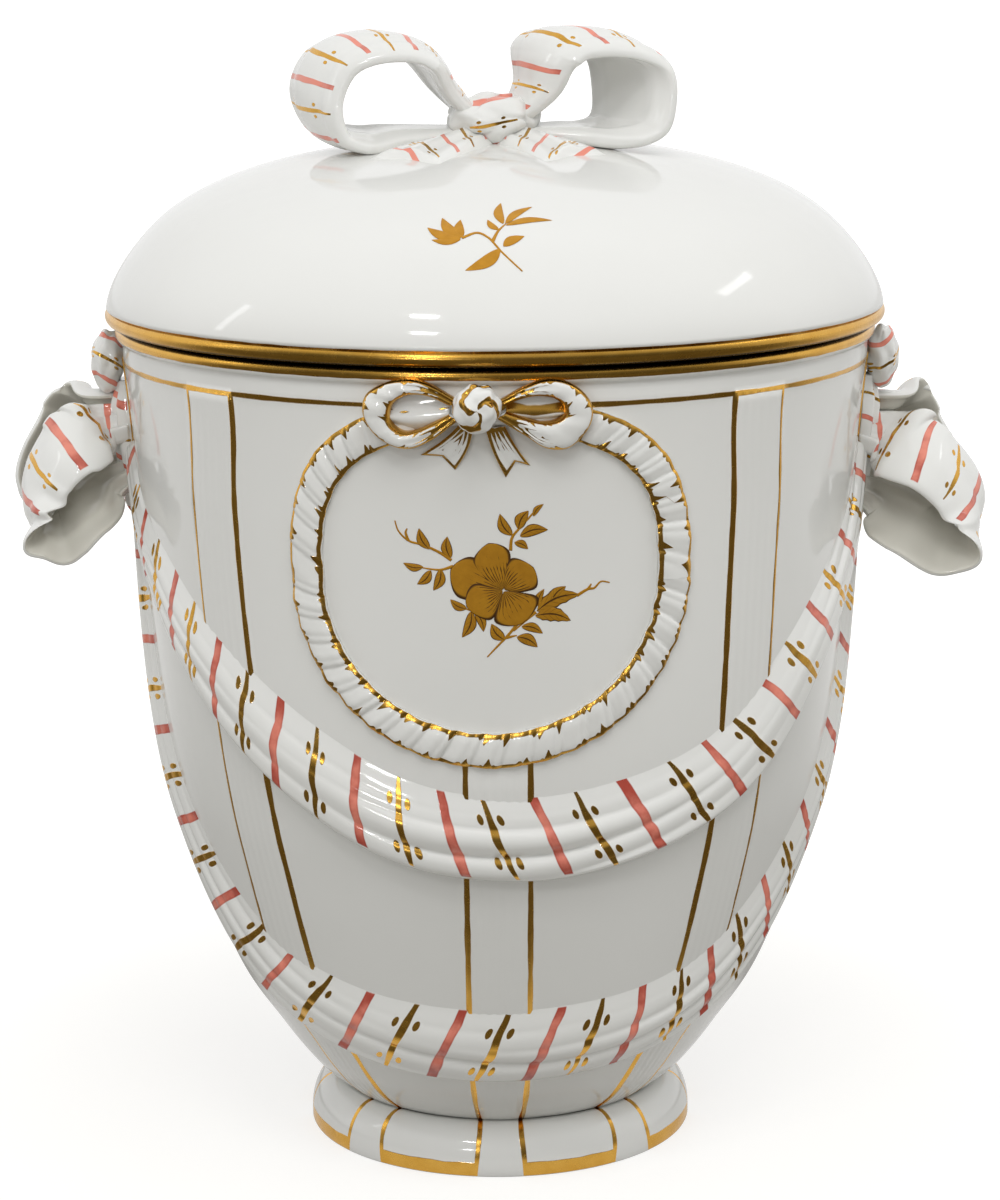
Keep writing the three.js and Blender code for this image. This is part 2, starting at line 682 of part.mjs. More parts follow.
function knobTailGeometry(hand) {
  const spread = knobTailSpread * degree;
  const start = knobKnotDeep + lutingGap + 1;
  const steps = 5;
  const sections = [];
  for (let step = 0; step <= steps; step++) {
    const share = step / steps;
    const reach = mix(start, start + knobTailLength, share);
    const half = mix(knobTailRootWidth, knobTailWidth, share) / 2;
    const corner = (across, lift) => {
      const x = hand * (Math.sin(spread) * reach + Math.cos(spread) * across);
      const y = -knobForward - Math.cos(spread) * reach + Math.sin(spread) * across;
      return new THREE.Vector3(x, y, domeHeight(Math.hypot(x, y)) + lutingGap + lift);
    };
    const section = [
      corner(-half, 0), corner(0, 0), corner(half, 0),
      corner(half, knobTailThickness * 0.6), corner(0, knobTailThickness),
      corner(-half, knobTailThickness * 0.6),
    ];
    sections.push(hand > 0 ? section : section.reverse());
  }
  return new LoftGeometry(sections, { capStart: true, capEnd: true });
}

for (const loop of knobLoops) {
  addPiece(lid, `lid_bow_${loop.name}_loop`, knobLoopGeometry(loop), ribbonGlaze);
  addPiece(lid, `lid_bow_${loop.name}_tail`, knobTailGeometry(loop.hand), ribbonGlaze);
}

export default jar;
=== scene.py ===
from math import atan2, ceil, copysign, cos, cosh, exp, floor, hypot, pi, radians, sin

import bmesh
import bpy
from mathutils import Matrix, Vector, geometry, noise


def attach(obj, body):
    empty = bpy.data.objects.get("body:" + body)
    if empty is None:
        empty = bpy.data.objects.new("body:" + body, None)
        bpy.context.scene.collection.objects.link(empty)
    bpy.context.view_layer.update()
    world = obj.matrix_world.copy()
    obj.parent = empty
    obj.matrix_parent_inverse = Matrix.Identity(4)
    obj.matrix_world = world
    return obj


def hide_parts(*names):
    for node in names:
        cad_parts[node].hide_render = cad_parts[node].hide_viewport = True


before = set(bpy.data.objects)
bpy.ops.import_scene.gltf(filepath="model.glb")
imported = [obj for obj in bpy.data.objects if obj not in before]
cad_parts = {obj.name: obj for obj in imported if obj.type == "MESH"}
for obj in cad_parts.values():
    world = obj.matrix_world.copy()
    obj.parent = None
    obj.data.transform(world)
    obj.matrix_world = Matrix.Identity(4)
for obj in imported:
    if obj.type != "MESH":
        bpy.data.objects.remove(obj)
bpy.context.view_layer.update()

mm = 0.001


# Bowl: the jar's body, cast in white porcelain clay with eight low pilasters on its
# wall and a rolled rim, glazed inside and out, then gilded by hand: a line down each
# edge of a pilaster, one round under the frieze, and a burnished band on the rim.
waist_radius = 49 * mm
waist_height = 12 * mm
belly_radius = 92.4 * mm
belly_height = 100 * mm
frieze_radius = 105.5 * mm
frieze_height = 228 * mm
rim_radius = 107.6 * mm
rim_height = 238 * mm
rim_roll = 2.3 * mm
wall_thickness = 5 * mm
floor_thickness = 7 * mm
pilaster_places = (0, 42.4, 90, 135, 180, 225, 270, 312.7)
pilaster_drifts = (0, 0.4, 0, 0, 0, 0, 0, 2.7)
pilaster_tops = (0, -1.2, 0, 0, 0, 0, 0, 1.3)
pilaster_relief = 0.5 * mm
pilaster_edge = 0.8 * mm
flute_depth = 0.12 * mm
flute_count = 3
fluted_share = 0.84
smooth_ground_foot = 128 * mm
bare_ground_half = 30 * mm
bare_ground_foot = 134 * mm
gilt_line_half = 0.78 * mm
gilt_line_height = 227.9 * mm
gilt_rim_foot = 235 * mm
gilt_inner_radius = 102 * mm
gilt_softness = 0.12 * mm
far_off_line = 20 * mm
wheel_steps = 512
glaze_white = (0.81, 0.81, 0.785, 1)
glaze_shade = (0.775, 0.775, 0.745, 1)
glaze_roughness = 0.07
burnished_gold = (0.78, 0.46, 0.10, 1)
deep_gold = (0.60, 0.31, 0.04, 1)
gap_shadow_gold = (0.03, 0.018, 0.008, 1)


def mix(low, high, share):
    """A share of the way from low to high, for numbers and for what shader nodes read"""
    return low + (high - low) * share


def ease(value, start, end):
    """0 before start, 1 after end, and a smooth rise between them"""
    share = min(1, max(0, (value - start) / (end - start)))
    return share * share * (3 - 2 * share)


def wall_curve(start, lean_out, reach, end, lean_in, reach_back, count):
    return geometry.interpolate_bezier(
        Vector((start[0], start[1])),
        Vector((start[0] + lean_out * reach, start[1] + reach)),
        Vector((end[0] - lean_in * reach_back, end[1] - reach_back)),
        Vector((end[0], end[1])), count)


lower_wall = ((waist_radius, waist_height), 0.66, 40 * mm, (belly_radius, belly_height), 0.27, 64 * mm)
upper_wall = ((belly_radius, belly_height), 0.27, 32 * mm, (frieze_radius, frieze_height), 0.12, 45 * mm)


def tucked_in(height):
    """How far the wall rounds in to the foot, under a slight swell"""
    tuck = 5.5 * mm * max(0, (23 * mm - height) / (11 * mm)) ** 2.2
    return tuck - 0.9 * mm * exp(-((height - 28 * mm) / (8 * mm)) ** 2)


def wall_points(count):
    """The bowl's outer wall, from its waist up to the top of the frieze"""
    points = [*wall_curve(*lower_wall, count), *wall_curve(*upper_wall, count)[1:]]
    return [Vector((point.x - tucked_in(point.y), point.y)) for point in points]


fine_wall = wall_points(400)
wall_step = 0.25 * mm
wall_radii = []
fine_row = 0
for step in range(ceil(frieze_height / wall_step) + 1):
    while fine_row < len(fine_wall) - 2 and fine_wall[fine_row + 1].y < step * wall_step:
        fine_row += 1
    low_point, high_point = fine_wall[fine_row], fine_wall[fine_row + 1]
    climbed = (step * wall_step - low_point.y) / (high_point.y - low_point.y)
    wall_radii.append(mix(low_point.x, high_point.x, min(1, max(0, climbed))))


def wall_radius(height):
    place = min(max(height / wall_step, 0), len(wall_radii) - 1.001)
    row = int(place)
    return mix(wall_radii[row], wall_radii[row + 1], place - row)


def wall_slope(height):
    return (wall_radius(height + 0.5 * mm) - wall_radius(height - 0.5 * mm)) / mm


def on_wall(angle, height, lift):
    """A point lift away from the wall, at an angle counted in radians from the front"""
    slope = wall_slope(height)
    tilt = hypot(1, slope)
    radius = wall_radius(height) + lift / tilt
    return Vector((radius * sin(angle), -radius * cos(angle), height - lift * slope / tilt))


def over_wall(angle, height, along, up, lift):
    """A point moved over the wall from a place on it, along the girth and up the slope"""
    new_height = height + up / hypot(1, wall_slope(height))
    return on_wall(angle + along / wall_radius(height), new_height, lift)


def pilaster_half(height):
    climbed = height - waist_height
    spread = 1 - exp(-climbed / (14 * mm))
    return 5.4 * mm + 2.9 * mm * spread + 0.6 * mm * climbed / (frieze_height - waist_height)


def pilaster_centre(number, height):
    """The angle of a pilaster, set out by hand, so that some drift a little down the wall"""
    drift = pilaster_drifts[number % 8] * ease(height, 190 * mm, 90 * mm)
    drift += pilaster_tops[number % 8] * ease(height, 195 * mm, 225 * mm)
    return radians(pilaster_places[number % 8] + drift)


def turn_between(start, end):
    return (end - start + pi) % (2 * pi) - pi


def turn_on_wheel(outline):
    """Spins an outline of radius and height round the jar's axis"""
    bm = bmesh.new()
    points = [bm.verts.new((radius, 0, height)) for radius, height in outline]
    edges = [bm.edges.new(pair) for pair in zip(points, points[1:])]
    bmesh.ops.spin(bm, geom=points + edges, cent=(0, 0, 0), axis=(0, 0, 1), dvec=(0, 0, 0),
                   angle=2 * pi, steps=wheel_steps, use_merge=True, use_duplicate=False)
    bmesh.ops.remove_doubles(bm, verts=bm.verts, dist=0.001 * mm)
    return bm


def fire_piece(name, bm, material, slot, body, *nodes):
    """Makes the finished piece, which rides on its body and stands for its CAD nodes"""
    bmesh.ops.recalc_face_normals(bm, faces=bm.faces)
    mesh = bpy.data.meshes.new(name)
    bm.to_mesh(mesh)
    bm.free()
    mesh.shade_smooth()
    mesh.materials.append(material)
    piece = bpy.data.objects.new(name, mesh)
    bpy.context.scene.collection.objects.link(piece)
    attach(piece, body)
    if nodes:
        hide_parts(*nodes)


def math_node(operation):
    """What a sign of arithmetic does between readings: it adds one Math node"""
    def reckon(first, *others):
        return first.painter.calc(operation, first, *others)
    return reckon


class Reading:
    """What a shader node gives out: a number, a colour or a vector that varies from place to place"""

    def __init__(self, painter, socket):
        self.painter = painter
        self.socket = socket

    __add__ = __radd__ = math_node("ADD")
    __mul__ = __rmul__ = math_node("MULTIPLY")
    __sub__ = math_node("SUBTRACT")
    __truediv__ = math_node("DIVIDE")
    __mod__ = math_node("MODULO")
    __pow__ = math_node("POWER")
    __abs__ = math_node("ABSOLUTE")
    __floor__ = math_node("FLOOR")
    __gt__ = math_node("GREATER_THAN")
    __lt__ = math_node("LESS_THAN")
    __or__ = math_node("MAXIMUM")

    def __rsub__(self, other):
        return self.painter.calc("SUBTRACT", other, self)

    def fade(self, start, end, low=0.0, high=1.0):
        """Low at start, high at end, and a smooth run between them"""
        fed = enumerate((self, start, end, low, high))
        return self.painter.read(self.painter.add("ShaderNodeMapRange", fed, interpolation_type="SMOOTHSTEP"))

    def under(self, limit, softness):
        """Mask of the places where this is under a limit, with a soft edge"""
        return (self - limit).fade(softness, -softness)

    def zigzag(self):
        """Climbs from 0 to 1 and falls back again with every 1 that this climbs"""
        return 2 * self.painter.calc("PINGPONG", self, 0.5)


class Painter:
    """Puts shader nodes together, for a surface or for the tent round the jar"""

    def __init__(self, owner):
        owner.use_nodes = True
        self.tree = owner.node_tree

    def feed(self, socket, value):
        if isinstance(value, Reading):
            self.tree.links.new(value.socket, socket)
        else:
            socket.default_value = value

    def add(self, kind, fed=(), **settings):
        """A new node with its settings, and what is fed to it by an input's number or name"""
        node = self.tree.nodes.new(kind)
        for key, value in settings.items():
            setattr(node, key, value)
        for socket, value in dict(fed).items():
            self.feed(node.inputs[socket], value)
        return node

    def read(self, node, output=0):
        return Reading(self, node.outputs[output])

    def calc(self, operation, *values):
        return self.read(self.add("ShaderNodeMath", enumerate(values), operation=operation))

    def parts(self, vector):
        node = self.add("ShaderNodeSeparateXYZ", {0: vector})
        return [self.read(node, part) for part in range(3)]

    def ray(self, kind):
        return self.read(self.add("ShaderNodeLightPath"), kind)


class Finish(Painter):
    """A surface: its colour, gloss and relief, built up from shader nodes"""

    def __init__(self, name):
        self.material = bpy.data.materials.new(name)
        super().__init__(self.material)
        self.shader = self.tree.nodes["Principled BSDF"]
        self.place = self.read(self.add("ShaderNodeTexCoord"), "Object")
        self.x, self.y, self.z = self.parts(self.place)

    def radius(self):
        return (self.x ** 2 + self.y ** 2) ** 0.5

    def mottle(self, size, detail):
        fed = {"Vector": self.place, "Scale": 1 / size, "Detail": detail}
        return self.read(self.add("ShaderNodeTexNoise", fed))

    def chance(self, value):
        return self.read(self.add("ShaderNodeTexWhiteNoise", {"W": value}, noise_dimensions="1D"), "Value")

    def blend(self, share, low, high):
        return self.read(self.add("ShaderNodeMix", {0: share, 6: low, 7: high}, data_type="RGBA"), 2)

    def carried(self, name, output="Fac"):
        return self.read(self.add("ShaderNodeAttribute", attribute_name=name), output)

    def painting(self):
        """The three numbers that a ribbon or a leaf carries for its painter"""
        return self.parts(self.carried("painting", "Vector"))

    def coat(self, looks, height):
        """Gives the surface its looks, and a relief of this height"""
        bump = self.add("ShaderNodeBump", {"Strength": 1, "Distance": 1, "Height": height})
        for name, value in {**looks, "Normal": self.read(bump)}.items():
            self.feed(self.shader.inputs[name], value)


def glaze(finish, gilding, gap_shade=0.0, layers=()):
    """Clear glaze over white clay, tints and enamel laid over it in layers, and gold burnished on last,
    darkened where asked by a painted shadow
    """
    colour = finish.blend(finish.mottle(48 * mm, 3), glaze_white, glaze_shade)
    height = 0.05 * mm * finish.mottle(11 * mm, 2)
    for mask, tint, thickness in layers:
        colour = finish.blend(mask, colour, tint)
        height = thickness * mask + height
    gold = finish.blend(finish.mottle(5 * mm, 3), burnished_gold, deep_gold)
    # Painted shadow: the gold is blended towards near-black where the gap between lid and rim lies in shade
    gold = finish.blend(gap_shade, gold, gap_shadow_gold)
    gold_roughness = 0.16 * finish.mottle(1.2 * mm, 2) + 0.17
    finish.coat({
        "Base Color": finish.blend(gilding, colour, gold),
        "Metallic": gilding,
        "Roughness": mix(glaze_roughness, gold_roughness, gilding),
    }, 0.05 * mm * gilding + height)
    return finish.material


def section_points(radius, height, offsets):
    """Points of a section, set off from one of its corners by millimetres outward and upward"""
    return [(radius + outward * mm, height + upward * mm) for outward, upward in offsets]


def bowl_outline():
    """The bowl's section, from under the waist up the wall, over the rim and down inside"""
    rows = [(0, waist_height), (waist_radius * 0.6, waist_height), (waist_radius - 7 * mm, waist_height)]
    rows += [(point.x, point.y) for point in wall_points(46)]
    for share in (0.04, 0.35, 0.7, 0.92):
        rows.append((frieze_radius + 0.1 * mm, frieze_height + share * 5.2 * mm))
    roll_centre = rim_radius - rim_roll
    for bend in range(-75, 91, 15):
        lift = rim_roll * (1 + sin(radians(bend)))
        rows.append((roll_centre + rim_roll * cos(radians(bend)), rim_height - 2 * rim_roll + lift))
    inner_top = frieze_radius - wall_thickness
    rows += section_points(inner_top, rim_height, ((1.2, 0), (0.3, -0.3), (0, -1.2)))
    floor_height = waist_height + floor_thickness
    corner_height = floor_height + 8 * mm
    for row in range(19):
        height = mix(frieze_height, corner_height, row / 18)
        rows.append((wall_radius(height) - wall_thickness, height))
    corner_radius = wall_radius(corner_height) - wall_thickness
    for bend in range(15, 91, 15):
        inward = 10 * mm * (1 - cos(radians(bend)))
        drop = 8 * mm * sin(radians(bend))
        rows.append((corner_radius - inward - 1.5 * mm * bend / 90, corner_height - drop))
    rows += [(waist_radius * 0.4, floor_height + 0.5 * mm), (0, floor_height + 0.8 * mm)]
    return rows


bowl = turn_on_wheel(bowl_outline())
edge_layer = bowl.verts.layers.float.new("pilaster_edge")
sector = radians(45)
wheel_step = 2 * pi / wheel_steps
top_steps = 12
slope_steps = 3
panel_start = top_steps + slope_steps
panel_steps = wheel_steps // 16 - panel_start
for vert in bowl.verts:
    radius = hypot(vert.co.x, vert.co.y)
    height = vert.co.z
    if radius < waist_radius * 0.7 or not waist_height <= height <= rim_height:
        vert[edge_layer] = far_off_line
        continue
    angle = atan2(vert.co.x, -vert.co.y)
    number = round(angle / sector)
    steps_off = (angle - number * sector) / wheel_step
    centre = pilaster_centre(number, height)
    next_centre = pilaster_centre(number + (1 if steps_off > 0 else -1), height)
    half_gap = abs(turn_between(centre, next_centre)) / 2
    half = pilaster_half(min(height, frieze_height)) / wall_radius(height)
    slope_end = half + pilaster_edge / wall_radius(height)
    count = abs(steps_off)
    if count <= top_steps:
        new_offset = half * count / top_steps
    elif count <= panel_start:
        new_offset = mix(half, slope_end, (count - top_steps) / slope_steps)
    else:
        new_offset = mix(slope_end, half_gap, (count - panel_start) / panel_steps)
    raised = ease(count, panel_start, top_steps)
    flutes = cos(flute_count * 2 * pi * count / top_steps) if count < top_steps * fluted_share else 1
    over_medallion = number % 4 == 0 and height > smooth_ground_foot
    outside = radius > wall_radius(height) - mm
    if outside and height <= frieze_height and not over_medallion:
        radius += pilaster_relief * raised - flute_depth * (1 - flutes) / 2 * raised
    new_angle = centre + copysign(new_offset, steps_off)
    vert.co.x = radius * sin(new_angle)
    vert.co.y = -radius * cos(new_angle)
    vert[edge_layer] = radius * (new_offset - half) if outside else far_off_line

bowl_finish = Finish("bowl glaze with gilt lines")
shaky = bowl_finish.mottle(9 * mm, 1)
line_reach = 0.6 * mm * shaky + (gilt_line_half - 0.3 * mm)
upright = abs(bowl_finish.carried("pilaster_edge")).under(line_reach, gilt_softness)
below_frieze = bowl_finish.z.fade(gilt_line_height + 0.3 * mm, gilt_line_height + 0.1 * mm)
off_bare_ground = (abs(bowl_finish.x) > bare_ground_half) | (bowl_finish.z < bare_ground_foot)
off_round_line = abs(bowl_finish.z - gilt_line_height)
round_line = off_round_line.fade(line_reach + 0.02 * mm, line_reach - 0.3 * mm)
rim_band = (0.5 * mm * shaky + bowl_finish.z).fade(gilt_rim_foot, gilt_rim_foot + 0.2 * mm)
bowl_radius = bowl_finish.radius()
round_bands = (round_line | rim_band) * (bowl_radius > gilt_inner_radius)
bowl_gilding = (upright * below_frieze * off_bare_ground) | round_bands
# Painted shadow: the top of the rim's gold band, in the gap under the lid, is painted near-black
rim_gap_shadow = bowl_finish.z.fade(236.9 * mm, 237.6 * mm) * bowl_radius.fade(105 * mm, 105.5 * mm)
fire_piece("bowl", bowl, glaze(bowl_finish, bowl_gilding, rim_gap_shadow), "porcelain", "jar", "jar_bowl")


# Foot: a low spreading foot thrown as a hollow ring, luted under the bowl's waist with
# slip. Eight gilt-edged panels stand between white strips that carry on the pilasters,
# and its flat standing ring is wiped clean of glaze.
foot_radius = 56 * mm
foot_ring_width = 9 * mm
foot_seam = 14 * mm
foot_edge = 3 * mm
foot_strip_top = 11.4 * mm
foot_strip_base = 14.6 * mm
foot_line_half = 0.35 * mm
foot_band_top = 3.9 * mm


def foot_outline():
    top = waist_height + 0.2 * mm
    inner = foot_radius - foot_ring_width
    seam_radius = wall_radius(foot_seam) + 0.3 * mm
    rows = [(inner - 6 * mm, top), (seam_radius - 2.6 * mm, top)]
    rows += section_points(seam_radius, foot_seam, ((-0.7, -0.6),))
    for bend in range(90, -1, -9):
        reach = seam_radius + (foot_radius - seam_radius) * cos(radians(bend)) ** 0.9
        rows.append((reach, mix(foot_edge, foot_seam, sin(radians(bend)))))
    rows += section_points(foot_radius, 0, ((0, 2), (0, 0.5), (-0.15, 0.15), (-0.5, 0), (-1.4, 0)))
    rows += section_points(inner, 0, ((1.2, 0), (0.4, 0), (0, 0.4), (0, 6), (-1, 7.6), (-4, 9), (-6, 10)))
    rows.append((inner - 6 * mm, top))
    return rows


foot = turn_on_wheel(foot_outline())
strip_layer = foot.verts.layers.float.new("strip_edge")
for vert in foot.verts:
    radius = hypot(vert.co.x, vert.co.y)
    angle = atan2(vert.co.x, -vert.co.y)
    off_centre = abs(turn_between(pilaster_centre(round(angle / sector), waist_height), angle))
    strip_half = mix(foot_strip_base, foot_strip_top, vert.co.z / foot_seam) / 2
    vert[strip_layer] = radius * off_centre - strip_half

foot_finish = Finish("foot glaze with gilt panels")
strip_edge = foot_finish.carried("strip_edge")
wavering = 0.7 * mm * foot_finish.mottle(7 * mm, 1)
side_line = abs(strip_edge).under(wavering + foot_line_half, gilt_softness)
low_band = foot_finish.z.under(wavering + foot_band_top, gilt_softness) * (strip_edge > 0)
foot_gilding = (side_line | low_band) * (foot_finish.z > 0.3 * mm)
fire_piece("foot", foot, glaze(foot_finish, foot_gilding), "porcelain", "jar", "foot_ring")


# Swags: two rolled-out ribbons of clay, laid in soft lengthwise folds over the wall of
# the front and the back and smoothed in at their upper edge. They are painted with
# slanting bars: coral enamel, and between them gold with a pair of dots on each side.
sides = (("front", 0), ("back", pi))
bar_pitch = 13 * mm
thin_coral = (0.80, 0.27, 0.195, 1)
thick_coral = (0.42, 0.07, 0.048, 1)
inner_shade_grey = (0.60, 0.585, 0.52, 1)
swags = {
    "upper": {
        "low": 112, "rise": 202, "end": 86.2, "lean": 3, "chain": 60, "width": 25.5, "end_width": 11,
        "proud": 5.2, "end_proud": 2.6, "slant": 0.43, "slant_change": -0.6, "shift": 0, "drift": 0.2,
        "seed": 3.0, "left_catch": 12, "right_catch": 8,
    },
    "lower": {
        "low": 47.5, "rise": 185, "end": 89, "lean": 1, "chain": 20, "width": 27.5, "end_width": 9,
        "proud": 5.4, "end_proud": 2.4, "slant": -0.42, "slant_change": -0.3, "shift": 2, "drift": -0.12,
        "seed": 8.0, "left_catch": 0, "right_catch": 2.5,
    },
}
swag_folds = ((0.10, 0.30, 1.2), (0.31, 0.50, 2.0), (0.52, 0.74, 1.3), (0.72, 0.86, 0.5))
swag_catches = {"left_catch": (-1, (5, 55), (86, 62)), "right_catch": (1, (36, 62), (86, 66))}
swag_columns = 340
swag_front_share = 0.86
coral_half_least = 0.95 * mm
gold_half_least = 0.75 * mm
gold_narrowing = 0.75 * mm
dot_levels = (0.40, -0.50)
dot_distance = 2.7 * mm
dot_half_width = 0.85 * mm
dot_half_length = 1.35 * mm


def power_of(value, power):
    return copysign(abs(value) ** power, value)


def roll_out(columns, rows, place, bm=None, ring=False, plain=(0, 0, 0)):
    """Rolls a grid into a closed band of clay: place(along, around) gives each point, and
    what the painter follows there, and the seam is merged and the ends are closed"""
    bm = bm or bmesh.new()
    painting = bm.loops.layers.float_vector.get("painting") or bm.loops.layers.float_vector.new("painting")
    sheet = bmesh.ops.create_grid(bm, x_segments=columns, y_segments=rows, size=0.5)["verts"]
    laid = {vert: place(vert.co.x + 0.5, vert.co.y + 0.5) for vert in sheet}
    for face in {face for vert in sheet for face in vert.link_faces}:
        for loop in face.loops:
            loop[painting] = laid[loop.vert][1]
    for vert, (point, _) in laid.items():
        vert.co = point
    bmesh.ops.remove_doubles(bm, verts=sheet, dist=0.002 * mm)
    open_edges = [edge for edge in bm.edges if edge.is_boundary]
    if open_edges and not ring:
        for face in bmesh.ops.holes_fill(bm, edges=open_edges, sides=0)["faces"]:
            for loop in face.loops:
                loop[painting] = plain
    return bm


def swag_height(swag, angle):
    """The line a swag hangs on, caught up higher on its way to the handles"""
    span = swag["end"] - copysign(swag["lean"], angle - swag["lean"])
    hang = cosh((angle - swag["lean"]) / swag["chain"]) - 1
    full = cosh(span / swag["chain"]) - 1
    caught_up = 0
    for catch, (hand, rising, falling) in swag_catches.items():
        caught_up += swag[catch] * ease(hand * angle, *rising) * ease(hand * angle, *falling)
    return (swag["low"] + (swag["rise"] - swag["low"]) * hang / full + caught_up) * mm


def lengths_along(points):
    """How far each point of a line is from its first one, counted along the line"""
    lengths = [0.0]
    for here, there in zip(points, points[1:]):
        lengths.append(lengths[-1] + (there - here).length)
    return lengths


def swag_piece(name, swag, facing, node):
    angles = [swag["end"] * power_of(2 * step / swag_columns - 1, 0.95) for step in range(swag_columns + 1)]
    lengths = lengths_along([on_wall(radians(angle), swag_height(swag, angle), 0) for angle in angles])
    middle = lengths[swag_columns // 2]

    def folded(level, share, length):
        depth_here = 0.0
        for number, (at_middle, at_end, depth) in enumerate(swag_folds):
            wander = noise.noise(Vector((length * 9, swag["seed"] + 7 * number, facing)))
            crease = mix(at_middle, at_end, abs(share) ** 1.25) + 0.12 * wander + swag["drift"] * share
            luck = noise.noise(Vector((length * 13, swag["seed"] + 3 * number, facing + 9)))
            strength = max(0, 0.8 + 1.5 * luck)
            off = level - crease
            depth_here += depth * strength * exp(-abs(off) / (0.13 if off > 0 else 0.045))
        return depth_here

    def place(along, around):
        step = round(along * swag_columns)
        share = 2 * along - 1
        angle = angles[step]
        height = swag_height(swag, angle)
        rise = swag_height(swag, angle + 0.25) - swag_height(swag, angle - 0.25)
        run = Vector((radians(0.5) * wall_radius(height), rise * hypot(1, wall_slope(height)))).normalized()
        width = mix(swag["width"], swag["end_width"], abs(share) ** 2.2) * mm
        proud = mix(swag["proud"], swag["end_proud"], sin(share * pi / 2) ** 2)
        if around <= swag_front_share:
            level = around / swag_front_share
            body = min(1, level / 0.11) ** 0.45 * (1 - ease(level, 0.40, 1.0)) ** 0.8
            fold = folded(level, share, lengths[step]) * proud / swag["proud"] * min(1, 9 * level)
            edge_wave = 0.35 * noise.noise(Vector((lengths[step] * 45, swag["seed"], facing + 2)))
            lift = proud * body - fold * min(1, 1.6 * body) + mix(0.8, -0.5, ease(level, 0.45, 1.0))
            across = (level - 0.5) * width + edge_wave * mm
            half = width / 2
        else:
            back = (around - swag_front_share) / (1 - swag_front_share)
            across = (0.5 - back) * width
            lift = 0.8 - 1.3 * min(1, 4 * min(1 - back, 1))
            half = 0
        point = over_wall(radians(angle) + facing, height, -run.y * across, run.x * across, lift * mm)
        slant = swag["slant"] + swag["slant_change"] * share
        return point, (lengths[step] - middle + slant * across + swag["shift"] * mm, across, half)

    fire_piece(name, roll_out(swag_columns, 56, place), ribbon_glaze, "ribbon_porcelain", "jar", node)


def ribbon_bars(finish):
    """Masks of the painter's work: coral bars, how thick their enamel lies, gold bars with
    their dots, and the ribbon's inner face, which has none"""
    position, across, half = finish.painting()
    pitched = (position + (2.4 * mm * finish.mottle(13 * mm, 1) - 1.2 * mm)) / bar_pitch
    bar = floor(pitched + 0.5)
    luck = finish.chance(bar)
    from_bar = abs(1.6 * mm * luck + ((pitched - bar) * bar_pitch - 0.8 * mm))
    is_coral = abs(bar % 2) > 0.5
    painted = half > 0.5 * mm
    side = abs(across)
    share = side / (half | mm)
    brush = finish.mottle(6 * mm, 1)
    before_tip = side.under(half * (0.10 * luck + 0.82), 0.25 * mm)
    coral_half = 0.7 * mm * brush + coral_half_least
    coral = from_bar.under(coral_half, 0.16 * mm) * before_tip * is_coral * painted
    streaks = 1.5 * finish.mottle(5 * mm, 3) - 0.36
    pools = 0.35 * share.fade(0.35, 0.85) + 0.25 * from_bar.fade(0.6 * mm, 1.35 * mm)
    # The coral is made paler higher up the jar and on the lid
    paler_up_high = finish.z.fade(170 * mm, 240 * mm, 0.0, 0.42)
    tone = (streaks + pools - paler_up_high).fade(0.0, 1.0)
    gold_half = 0.6 * mm * brush + gold_half_least - gold_narrowing * share ** 2
    gold = from_bar.under(gold_half, gilt_softness) * before_tip
    for level in dot_levels:
        dot_across = (across - level * half) / dot_half_length
        dot_along = (from_bar - dot_distance) / dot_half_width
        gold = gold | ((dot_along ** 2 + dot_across ** 2) ** 0.5).fade(1.08, 0.88)
    return coral, tone, gold * (1 - is_coral) * painted, 1 - painted


ribbon_finish = Finish("ribbon glaze with coral and gold bars")
coral_bars, coral_tone, gold_bars, inner_face = ribbon_bars(ribbon_finish)
ribbon_glaze = glaze(ribbon_finish, gold_bars, layers=(
    # Painted shade: the ribbons' inner faces below the lid are painted grey
    (inner_face * (ribbon_finish.z < 250 * mm), inner_shade_grey, 0),
    (coral_bars, ribbon_finish.blend(coral_tone, thin_coral, thick_coral), 0.03 * mm),
))
for side_name, facing in sides:
    for swag_name, swag in swags.items():
        swag_piece(f"swag_{swag_name}_{side_name}", swag, facing, f"{swag_name}_swag_{side_name}")


# Medallions: a ring of pleated ribbon laid on the front and the back of the wall, each
# pleat pressed in slantwise while the clay was soft. Gold follows both edges and runs
# up the creases in short spikes.
medallion_height = 180.5 * mm
medallion_angle = radians(-1)
medallion_half_width = 49.5 * mm
medallion_half_height = 44.6 * mm
medallion_band = 9.4 * mm
medallion_proud = 2.1 * mm
medallion_edge_lift = 1.1 * mm
pleat_count = 40
pleat_lean = 0.22
pleat_depth = 1.1
small_pleat_depth = 0.4
off_edge = 9 * mm
off_knot = 99 * mm


